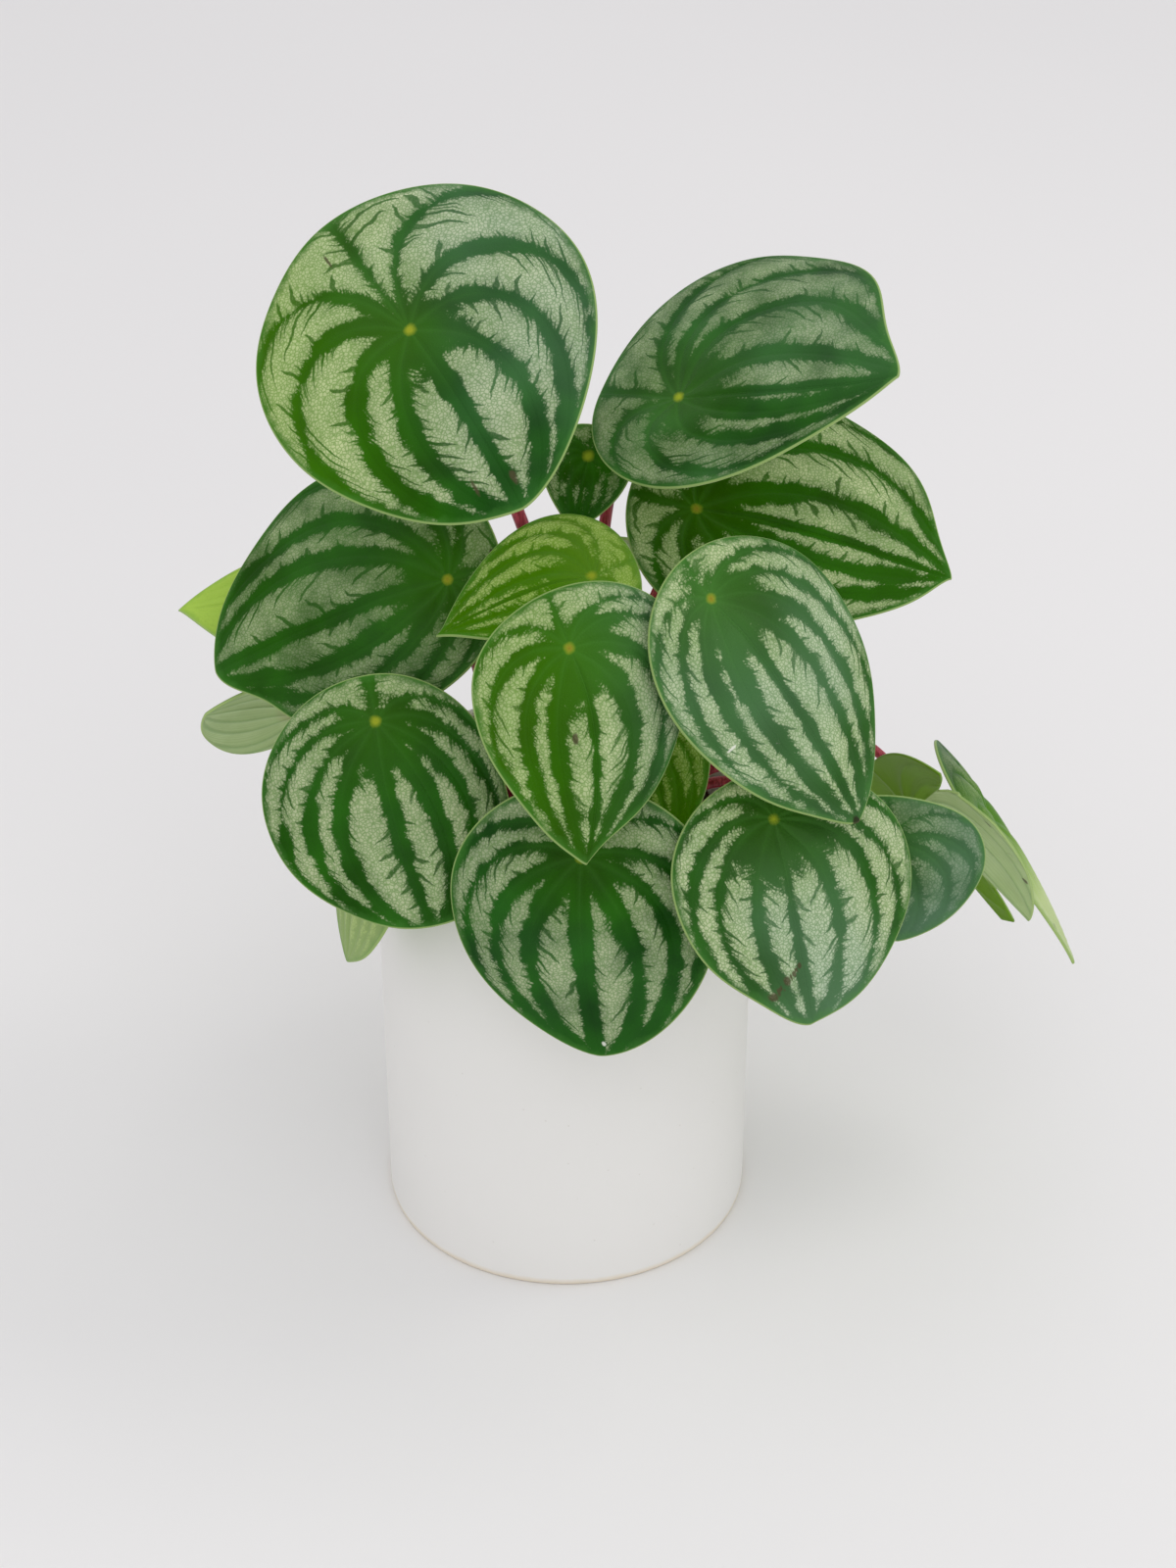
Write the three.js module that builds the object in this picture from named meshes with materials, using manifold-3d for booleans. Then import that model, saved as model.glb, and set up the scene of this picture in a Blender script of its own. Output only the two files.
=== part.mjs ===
// Watermelon peperomia in a plain white ceramic pot, in millimetres, +Z up.
// The origin is the centre of the pot's underside, and the plant's front faces -Y.
import * as THREE from 'three';
import { mergeVertices } from 'three/addons/utils/BufferGeometryUtils.js';
import Module from 'manifold-3d';

const wasm = await Module();
wasm.setup();

// Pot: a straight ceramic cylinder with a flat underside
const potRadius = 57;
const potHeight = 145;
const potWall = 4.5;
const potFloor = 6;
const potEdge = 1.2;
const potLip = potWall / 4;
const potCove = 3 * potLip;
const potSides = 56;

// Soil and the plant's crown
const seatGap = 0.3;
const soilLevel = 128;
const soilMound = 2;
const crownRadius = 29;
const crownHeight = 8.5;
const crownFall = 6;
const crownDepth = 8;
const crownSides = 24;
const crownRings = [1, 0.8, 0.5, 0.25];

// Stalks
const stalkSides = 7;
const stalkSteps = 10;
const stalkRise = 24;
const stalkReach = 10;
const socketDepth = 4;
const socketLength = 3 * socketDepth;
const socketPlay = 0.8;
const socketSides = 8;
const greatestLean = 42;

// Blades: rings of points round the hub, from the hub to the margin
const bladeThickness = 1.0;
const bladeSpokes = 28;
const bladeRings = [0.36, 0.7, 1];
const hubDip = 2.5;
const hubDipWidth = 0.28;
const tipArch = 0.12;
const sideSag = 0.15;
const tearClearance = 1.2;

// Points nearer than this are one point
const weldDistance = 1e-4;

// Each leaf has its hub, where the stalk meets the blade; the heading, droop and roll of the
// blade in degrees; the distances from the hub to the tip, the back and the two sides; how
// pointed the tip is; the sideways sweep of the tip; the stalk's radius; the place of its root
// on the crown; and the points that it passes on the way, where it goes round another leaf.
// Young leaves are yellow-green. A tear is [angle from the tip, half-width in degrees, depth
// as a share of the radius], and a shoulder bulges the margin in the same terms.
const leaves = [
  // Tallest leaf, upper left
  { hub: [-40, -25, 302], heading: -53, droop: 26, roll: 33,
    tip: 60, back: 44, left: 49, right: 45, point: 0.3, sweep: -0.07,
    shoulders: [[-148, 28, -0.06], [149, 28, -0.03]],
    stalk: 2.5, root: [0, 0], via: [[-2, 2, 190], [-14, 3, 238]] },
  // Upper right
  { hub: [32, 4, 270], heading: -32, droop: -12, roll: 33,
    tip: 62, back: 26, left: 57, right: 30, point: 0.7, sweep: 0.2, shoulders: [[67, 22, 0.08]],
    stalk: 2.3, root: [7, 1], via: [[11, 22, 215], [18, 25, 245]] },
  // Right, under the upper right leaf
  { hub: [38, 10, 233], heading: -10, droop: 8, roll: 35,
    tip: 75, back: 20, left: 48, right: 34, point: 0.75, sweep: -0.03, shoulders: [[59, 22, 0.1]],
    stalk: 2.3, root: [14.5, 4], via: [] },
  // Right front
  { hub: [40, -45, 233], heading: -29, droop: 42, roll: 19,
    tip: 72, back: 13, left: 37, right: 32, point: 0.53, sweep: -0.08,
    stalk: 2.3, root: [4, -6], via: [[26, -4, 190]] },
  // Left, under the tallest leaf
  { hub: [-33, -7, 219], heading: 180, droop: 19, roll: -41,
    tip: 75, back: 17, left: 34, right: 47, point: 0.25, sweep: 0.05, shoulders: [[36, 22, -0.08]],
    stalk: 2.4, root: [-7, 2], via: [[-15, 0, 150], [-25, 0, 186]] },
  // Left front, low
  { hub: [-52, -42, 193], heading: -77, droop: 51, roll: 18,
    tip: 59, back: 13, left: 32, right: 37, point: 0.06, sweep: 0.12,
    stalk: 2.3, root: [-16, -16], via: [[-43, -36, 168]] },
  // Front, lowest
  { hub: [5.0, -75.8, 169.3], heading: -100, droop: 72, roll: -6,
    tip: 57.4, back: 21.7, left: 38, right: 36, point: 0.25, sweep: 0.14,
    stalk: 2.3, root: [1.5, -23], via: [] },
  // Front, in the middle
  { hub: [2, -62, 227], heading: -50, droop: 50, roll: 21,
    tip: 54, back: 16, left: 31.5, right: 30.5, point: 0.77, sweep: -0.35, shoulders: [[56, 22, 0.08]],
    stalk: 2.1, root: [0.5, -15], via: [] },
  // Right front, low
  { hub: [57.6, -68.6, 177.7], heading: -73, droop: 54, roll: -4,
    tip: 56.9, back: 13.6, left: 40, right: 32, point: 0.4, sweep: 0.04,
    stalk: 2.2, root: [15, -18], via: [[40, -32, 158]] },
  // Right, low, behind the right front leaf
  { hub: [92, -41, 152], heading: -92, droop: 67, roll: -4,
    tip: 29, back: 14, left: 29, right: 36, point: 0.45, sweep: 0.15,
    stalk: 2, root: [20, -12], via: [[46, -17, 158]] },
  // Torn leaf at the right that turns its back to the front
  { hub: [106, 8.5, 132.5], heading: -31, droop: 30, roll: -66,
    tip: 48, back: 19, left: 28, right: 37, point: 0.24, sweep: -0.06,
    tears: [[-108, 8, 0.42], [-96, 18, 0.2], [14, 10, 0.38], [56, 22, 0.68]],
    stalk: 2, root: [22, -5], via: [[56, -5, 158]] },
  // Outermost leaf at the right, edge-on from the front
  { hub: [133, 26, 117], heading: -39, droop: 43, roll: -37,
    tip: 50, back: 31, left: 22, right: 27, point: 0.79, sweep: -0.09, shoulders: [[57, 30, 0.24]],
    stalk: 2, root: [23, 3], via: [[58, 18, 153], [92, 36, 140]] },
  // Young yellow-green leaf in the middle
  { hub: [8, -24, 229], heading: -163, droop: 8, roll: -19,
    tip: 46, back: 13, left: 22, right: 28, point: 1.2, sweep: 0.07,
    stalk: 1.7, root: [-3, -6], via: [], young: true },
  // Small dark leaf behind it
  { hub: [7, 15, 247], heading: -108, droop: 52, roll: -14,
    tip: 22, back: 9, left: 13, right: 13, point: 0.8, sweep: 0,
    stalk: 1.4, root: [1, 7], via: [[2, 19, 212]] },
  // Young leaf behind the left leaf
  { hub: [-78, 27, 193], heading: 191, droop: -5, roll: -25,
    tip: 37, back: 14, left: 24, right: 19, point: 1.1, sweep: 0,
    stalk: 1.7, root: [-14.5, 4.5], via: [], young: true },
  // Left, low, turned away from the front
  { hub: [-80, 24, 158.5], heading: 221, droop: -22, roll: 53,
    tip: 38, back: 15, left: 24, right: 24, point: 0.5, sweep: 0,
    stalk: 1.8, root: [-23, 4], via: [[-50, 9, 160]] },
  // Small leaf that hangs at the lower left
  { hub: [-54, -41, 158], heading: 205, droop: 73, roll: 0,
    tip: 45, back: 11, left: 22, right: 22, point: 0.5, sweep: 0,
    stalk: 1.7, root: [-21, -9], via: [[-36, -25, 156]] },
  // Between the front leaves, further in
  { hub: [22, -22, 180], heading: -72, droop: 38, roll: 0,
    tip: 36, back: 12, left: 19, right: 17, point: 0.6, sweep: 0,
    stalk: 1.9, root: [10, -11], via: [] },
  // Back, upper left
  { hub: [-42, 62, 258], heading: 120, droop: 30, roll: 0,
    tip: 52, back: 24, left: 35, right: 35, point: 0.4, sweep: 0.05,
    stalk: 2.2, root: [-8.5, 12.5], via: [] },
  // Back, upper right
  { hub: [52, 76, 240], heading: 60, droop: 32, roll: 0,
    tip: 50, back: 22, left: 33, right: 33, point: 0.45, sweep: -0.05,
    stalk: 2.2, root: [7.5, 13], via: [] },
  // Back, in the middle
  { hub: [3, 58, 197], heading: 96, droop: 30, roll: 0,
    tip: 46, back: 17, left: 28, right: 28, point: 0.5, sweep: 0.05,
    stalk: 1.9, root: [-1, 15], via: [] },
  // Back, low
  { hub: [5, 78, 159], heading: 90, droop: 48, roll: 0,
    tip: 52, back: 18, left: 33, right: 33, point: 0.4, sweep: 0.05,
    stalk: 2.1, root: [0, 23], via: [] },
  // Back left
  { hub: [-64, 62, 168], heading: 140, droop: 42, roll: 0,
    tip: 50, back: 20, left: 33, right: 33, point: 0.35, sweep: -0.05,
    stalk: 2.2, root: [-17, 15.5], via: [] },
  // Back right
  { hub: [60, 62, 184], heading: 42, droop: 42, roll: 0,
    tip: 52, back: 20, left: 34, right: 34, point: 0.5, sweep: 0.05,
    stalk: 2.2, root: [16.5, 16], via: [] },
];

const radians = THREE.MathUtils.degToRad;

// The blade's own frame: x to the tip, y to its left side, z out of its upper face
function bladeAxes(leaf) {
  const heading = radians(leaf.heading);
  const droop = radians(leaf.droop);
  const roll = radians(leaf.roll);
  const x = new THREE.Vector3(
    Math.cos(droop) * Math.cos(heading),
    Math.cos(droop) * Math.sin(heading),
    -Math.sin(droop),
  );
  const level = new THREE.Vector3(-Math.sin(heading), Math.cos(heading), 0);
  const upright = x.clone().cross(level);
  const y = level.clone().multiplyScalar(Math.cos(roll)).addScaledVector(upright, Math.sin(roll));
  const z = x.clone().cross(y);
  return { x, y, z };
}

// The margin's share of its plain radius at this angle, with its tears and shoulders
function marginShare(leaf, turn) {
  const off = (angle) => Math.abs(
    THREE.MathUtils.euclideanModulo(turn - radians(angle) + Math.PI, 2 * Math.PI) - Math.PI,
  );
  let share = 1;
  for (const [angle, halfWidth, depth] of leaf.tears ?? []) {
    share -= depth * Math.max(0, 1 - off(angle) / radians(halfWidth));
  }
  for (const [angle, halfWidth, height] of leaf.shoulders ?? []) {
    share += height * Math.exp(-((off(angle) / radians(halfWidth)) ** 2));
  }
  return share;
}

// A point of the upper face: turn runs round the hub from the tip, spread from hub to margin
function bladePoint(leaf, turn, spread) {
  const power = leaf.point;
  const widest = 2 * ((power + 1) / (power + 2)) ** ((power + 1) / 2) / Math.sqrt(power + 2);
  const side = Math.sin(turn) > 0 ? leaf.left : leaf.right;
  const share = spread * marginShare(leaf, turn);
  const x = ((leaf.tip + leaf.back) / 2 * Math.cos(turn) + (leaf.tip - leaf.back) / 2) * share;
  const y = side * Math.sin(turn) * Math.abs(Math.sin(turn / 2)) ** power / widest * share;
  const width = (leaf.left + leaf.right) / 2;
  const dip = hubDip * (1 - Math.exp(-(x * x + y * y) / (hubDipWidth * width) ** 2));
  const z = dip - tipArch * x * x / leaf.tip - sideSag * y * y / width;
  return new THREE.Vector3(x, y + leaf.sweep * Math.max(0, x) ** 2 / leaf.tip, z);
}

// Angles of the spokes, with three at each tear: its two lips and its root
function spokeAngles(leaf) {
  const tears = (leaf.tears ?? []).map(([angle, halfWidth]) => [radians(angle), radians(halfWidth)]);
  const angles = [];
  for (let i = 0; i < bladeSpokes; i += 1) {
    const turn = 2 * Math.PI * i / bladeSpokes - Math.PI;
    const clear = ([angle, halfWidth]) => Math.abs(turn - angle) > tearClearance * halfWidth;
    if (tears.every(clear)) angles.push(turn);
  }
  for (const [angle, halfWidth] of tears) angles.push(angle - halfWidth, angle, angle + halfWidth);
  return angles.sort((a, b) => a - b);
}

function meshFrom(points, triangles) {
  const geometry = new THREE.BufferGeometry();
  geometry.setAttribute('position', new THREE.Float32BufferAttribute(points.flatMap((p) => p.toArray()), 3));
  geometry.setIndex(triangles);
  geometry.computeVertexNormals();
  return geometry;
}

// Two like faces, one under the other, joined round the margin
function bladeGeometry(leaf) {
  const angles = spokeAngles(leaf);
  const count = angles.length;
  const points = [];
  for (const level of [0, -bladeThickness]) {
    points.push(new THREE.Vector3(0, 0, level));
    for (const spread of bladeRings) {
      for (const turn of angles) {
        const point = bladePoint(leaf, turn, spread);
        point.z += level;
        points.push(point);
      }
    }
  }
  const below = points.length / 2;
  const at = (ring, spoke) => 1 + ring * count + spoke % count;
  const triangles = [];
  const addBoth = (a, b, c) => triangles.push(a, b, c, below + a, below + c, below + b);
  for (let i = 0; i < count; i += 1) {
    addBoth(0, at(0, i), at(0, i + 1));
    for (let ring = 1; ring < bladeRings.length; ring += 1) {
      addBoth(at(ring - 1, i), at(ring, i), at(ring, i + 1));
      addBoth(at(ring - 1, i), at(ring, i + 1), at(ring - 1, i + 1));
    }
    const top = at(bladeRings.length - 1, i);
    const next = at(bladeRings.length - 1, i + 1);
    triangles.push(top, below + top, below + next, top, below + next, next);
  }
  return meshFrom(points, triangles);
}

// Height of the crown's surface above the soil level
function crownSurface(distance) {
  return crownHeight - crownFall * (distance / crownRadius) ** 2;
}

// The root of a stalk: the bottom of its socket in the crown, and the way it leaves the crown
function stalkRoot(leaf) {
  const [x, y] = leaf.root;
  const distance = Math.hypot(x, y);
  const lean = radians(greatestLean * distance / crownRadius);
  const out = new THREE.Vector3(x, y, 0).normalize().multiplyScalar(Math.sin(lean));
  out.z = Math.cos(lean);
  const foot = new THREE.Vector3(x, y, soilLevel + crownSurface(distance));
  foot.addScaledVector(out, -socketDepth);
  return { foot, out };
}

function circle(radius, sides) {
  const corners = [];
  for (let i = 0; i < sides; i += 1) {
    const turn = 2 * Math.PI * i / sides;
    corners.push(new THREE.Vector2(radius * Math.cos(turn), radius * Math.sin(turn)));
  }
  return new THREE.Shape(corners);
}

// A stalk from its socket to just under the blade's hub
function stalkGeometry(leaf) {
  const { foot, out } = stalkRoot(leaf);
  const { z: face } = bladeAxes(leaf);
  const head = new THREE.Vector3(...leaf.hub).addScaledVector(face, -bladeThickness - seatGap);
  const path = new THREE.CatmullRomCurve3([
    foot,
    foot.clone().addScaledVector(out, stalkRise),
    ...leaf.via.map((point) => new THREE.Vector3(...point)),
    head.clone().addScaledVector(face, -stalkReach),
    head,
  ]);
  return new THREE.ExtrudeGeometry(circle(leaf.stalk, stalkSides), {
    steps: stalkSteps,
    extrudePath: path,
    bevelEnabled: false,
  });
}

function solidOf(geometry) {
  const bare = geometry.clone();
  bare.deleteAttribute('normal');
  bare.deleteAttribute('uv');
  const merged = mergeVertices(bare, weldDistance);
  return new wasm.Manifold(new wasm.Mesh({
    numProp: 3,
    vertProperties: new Float32Array(merged.attributes.position.array),
    triVerts: new Uint32Array(merged.index.array),
  }));
}

function geometryOf(solid) {
  const mesh = solid.getMesh();
  const geometry = new THREE.BufferGeometry();
  geometry.setAttribute('position', new THREE.BufferAttribute(new Float32Array(mesh.vertProperties), 3));
  geometry.setIndex(new THREE.BufferAttribute(new Uint32Array(mesh.triVerts), 1));
  geometry.computeVertexNormals();
  return geometry;
}

// A solid of revolution about Z from [radius, height] corners
function turned(profile, sides) {
  const geometry = new THREE.LatheGeometry(profile.map(([r, z]) => new THREE.Vector2(r, z)), sides);
  return geometry.rotateX(Math.PI / 2);
}

function potGeometry() {
  const inner = potRadius - potWall;
  return turned([
    [0, 0],
    [potRadius - potEdge, 0],
    [potRadius, potEdge],
    [potRadius, potHeight - potLip],
    [potRadius - potLip, potHeight],
    [inner + potLip, potHeight],
    [inner, potHeight - potLip],
    [inner, potFloor + potCove],
    [inner - potCove, potFloor],
    [0, potFloor],
  ], potSides);
}

// The soil fills the pot and has a round bed for the crown
function soilGeometry() {
  const outer = potRadius - potWall - seatGap / Math.cos(Math.PI / potSides);
  const bed = crownRadius + seatGap;
  return turned([
    [0, potFloor + seatGap],
    [outer - potCove, potFloor + seatGap],
    [outer, potFloor + potCove + seatGap],
    [outer, soilLevel - soilMound],
    [(outer + bed) / 2, soilLevel - soilMound / 4],
    [bed, soilLevel],
    [bed - crownDepth / 2, soilLevel - crownDepth - seatGap],
    [0, soilLevel - crownDepth - seatGap],
  ], potSides);
}

// The low fleshy crown, with a plain socket for each stalk
function crownGeometry() {
  const profile = [
    [0, soilLevel - crownDepth],
    [crownRadius - crownDepth / 2, soilLevel - crownDepth],
    [crownRadius, soilLevel],
  ];
  for (const share of crownRings) {
    profile.push([crownRadius * share, soilLevel + crownSurface(crownRadius * share)]);
  }
  profile.push([0, soilLevel + crownHeight]);
  let crown = solidOf(turned(profile, crownSides));
  for (const leaf of leaves) {
    const { foot, out } = stalkRoot(leaf);
    const width = leaf.stalk + socketPlay;
    const socket = new THREE.CylinderGeometry(width, width, socketLength, socketSides);
    socket.translate(0, socketLength / 2 - seatGap, 0);
    socket.applyQuaternion(new THREE.Quaternion().setFromUnitVectors(new THREE.Vector3(0, 1, 0), out));
    socket.translate(foot.x, foot.y, foot.z);
    crown = crown.subtract(solidOf(socket));
  }
  return geometryOf(crown);
}

const ceramic = new THREE.MeshStandardMaterial({ color: 0xe9e8e4, roughness: 0.65, metalness: 0 });
const earth = new THREE.MeshStandardMaterial({ color: 0x33271e, roughness: 0.95, metalness: 0 });
const flesh = new THREE.MeshStandardMaterial({ color: 0x6a4a3a, roughness: 0.6, metalness: 0 });
const redStalk = new THREE.MeshStandardMaterial({ color: 0x6b1d2a, roughness: 0.45, metalness: 0 });
const striped = new THREE.MeshStandardMaterial({ color: 0x5d8a5a, roughness: 0.4, metalness: 0 });
const youngGreen = new THREE.MeshStandardMaterial({ color: 0x86ad43, roughness: 0.4, metalness: 0 });

function addMesh(group, name, geometry, material) {
  const mesh = new THREE.Mesh(geometry, material);
  mesh.name = name;
  group.add(mesh);
  return mesh;
}

const plant = new THREE.Group();
addMesh(plant, 'pot', potGeometry(), ceramic);
addMesh(plant, 'soil', soilGeometry(), earth);
addMesh(plant, 'crown', crownGeometry(), flesh);
leaves.forEach((leaf, index) => {
  const number = String(index + 1).padStart(2, '0');
  addMesh(plant, `stalk_${number}`, stalkGeometry(leaf), redStalk);
  const blade = addMesh(plant, `blade_${number}`, bladeGeometry(leaf), leaf.young ? youngGreen : striped);
  const { x, y, z } = bladeAxes(leaf);
  blade.position.set(...leaf.hub);
  blade.quaternion.setFromRotationMatrix(new THREE.Matrix4().makeBasis(x, y, z));
});

export default plant;
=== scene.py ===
"""Watermelon peperomia in a plain white pot: the finish of every surface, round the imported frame.

Sizes of the plant are in millimetres, as in the part's source, and become metres in the meshes.
"""
import math
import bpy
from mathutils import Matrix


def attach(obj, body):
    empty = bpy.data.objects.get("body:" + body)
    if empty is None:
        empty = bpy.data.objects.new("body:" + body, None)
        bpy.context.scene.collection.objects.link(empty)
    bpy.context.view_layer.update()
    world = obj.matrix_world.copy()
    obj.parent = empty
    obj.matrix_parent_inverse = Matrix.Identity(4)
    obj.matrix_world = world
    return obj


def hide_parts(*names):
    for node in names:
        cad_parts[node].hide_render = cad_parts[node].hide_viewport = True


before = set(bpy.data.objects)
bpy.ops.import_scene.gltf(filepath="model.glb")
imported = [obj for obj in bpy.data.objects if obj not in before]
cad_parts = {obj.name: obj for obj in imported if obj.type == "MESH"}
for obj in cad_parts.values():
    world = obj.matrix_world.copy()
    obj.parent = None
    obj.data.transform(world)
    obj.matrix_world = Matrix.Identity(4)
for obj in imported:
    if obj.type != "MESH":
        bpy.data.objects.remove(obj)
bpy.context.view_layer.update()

from types import SimpleNamespace

import bpy
import numpy as np

MM = 0.001
BODY = "root"

# Pot, soil and crown, as in the frame
POT_RADIUS = 57
POT_HEIGHT = 145
POT_WALL = 4.5
POT_FLOOR = 6
POT_EDGE = 1.2
POT_SIDES = 192
SEAT_GAP = 0.3
SOIL_LEVEL = 128
SOIL_MOUND = 2
SOIL_SIDES = 160
SOIL_RINGS = 30
CRUMB_RADIUS = 1.3
CRUMBS_PER_SQUARE_METRE = 3.2e5
CROWN_RADIUS = 29
CROWN_HEIGHT = 8.5
CROWN_FALL = 6
CROWN_DEPTH = 8
CROWN_SIDES = 144
CROWN_RINGS = 48
# The collar round a stalk's foot, whose width is in radii of the stalk
COLLAR_HEIGHT = 2.2
COLLAR_WIDTH = 1.5
SOIL_INNER = CROWN_RADIUS + SEAT_GAP
SOIL_OUTER = POT_RADIUS - POT_WALL - SEAT_GAP

# Stalks
STALK_RISE = 24
STALK_REACH = 10
SOCKET_DEPTH = 4
GREATEST_LEAN = 42
STALK_POINTS = 60
STALK_SIDES = 20

# Blades
BLADE_THICKNESS = 1.0
HUB_DIP = 2.5
HUB_DIP_WIDTH = 0.28
TIP_ARCH = 0.12
SIDE_SAG = 0.15
RIM_WAVE = 0.004
# A groove runs along each vein, the silver swells between the bands, and both fade out at the
# hub and at the rim
GROOVE_DEPTH = 0.5
GROOVE_WIDTH = 1.5
SWELLING_HEIGHT = 0.25
SWELLING_RISE = 2.5
RELIEF_FADE = 6
# Fineness of the blade's mesh: spokes for each stretch of its four reaches, the reach for each
# ring, and the distances of the last rings from the rim
SPOKE_GROUP = 8
SPOKE_STRETCH = 8.5
RING_STRETCH = 4.2
RIM_STRIP = 1.4
RIM_STEPS = (0.8, 0.5, 0.34, 0.2, 0.09, 0.02, 0)

# Veins leave the hub at these angles, bend forward along the margin and run to the tip. The bend
# is less for a vein further back, and sets in near the margin, where the veins crowd into a dark
# seam. Each vein wavers a little, and its start is moved a little, in radians.
VEIN_TURNS = (0, 62, 104, 140, 164, 180)
VEIN_COUNT = len(VEIN_TURNS) - 1
VEIN_BEND = 0.7
BEND_FALL = 2.5
BEND_ONSET = 1.6
VEIN_WAVE = 0.03
VEIN_SCATTER = 0.07
VEIN_STEPS = 24
VEIN_HALVINGS = 30
MARGIN_SEAM = 0.97
WIDEST_GAP = 40
# Half-width of the dark band along each vein, from the midrib to the one straight behind the hub,
# the share of it at the hub, and how much of it is lost on the way to the rim
BAND_WIDTHS = (3.0, 2.6, 2.2, 1.7, 1.2, 1.0)
BAND_AT_HUB = 1.15
BAND_LOSS = 0.45
# How far from the hub the silver starts, between each two veins
STAR_REACH = (16, 14, 11, 8, 6)
# A blade of this length has these widths and reaches, and others have them by its square root
COMMON_LENGTH = 80
# Feathering strokes at the silver's edge, and cells under the skin to a metre
STROKE_SPACING = 0.6
STROKE_LEAN = 0.6
CELL_SCALE = 1050
# Offset from a scar where a blade has none
NO_SCAR = 99.0

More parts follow.
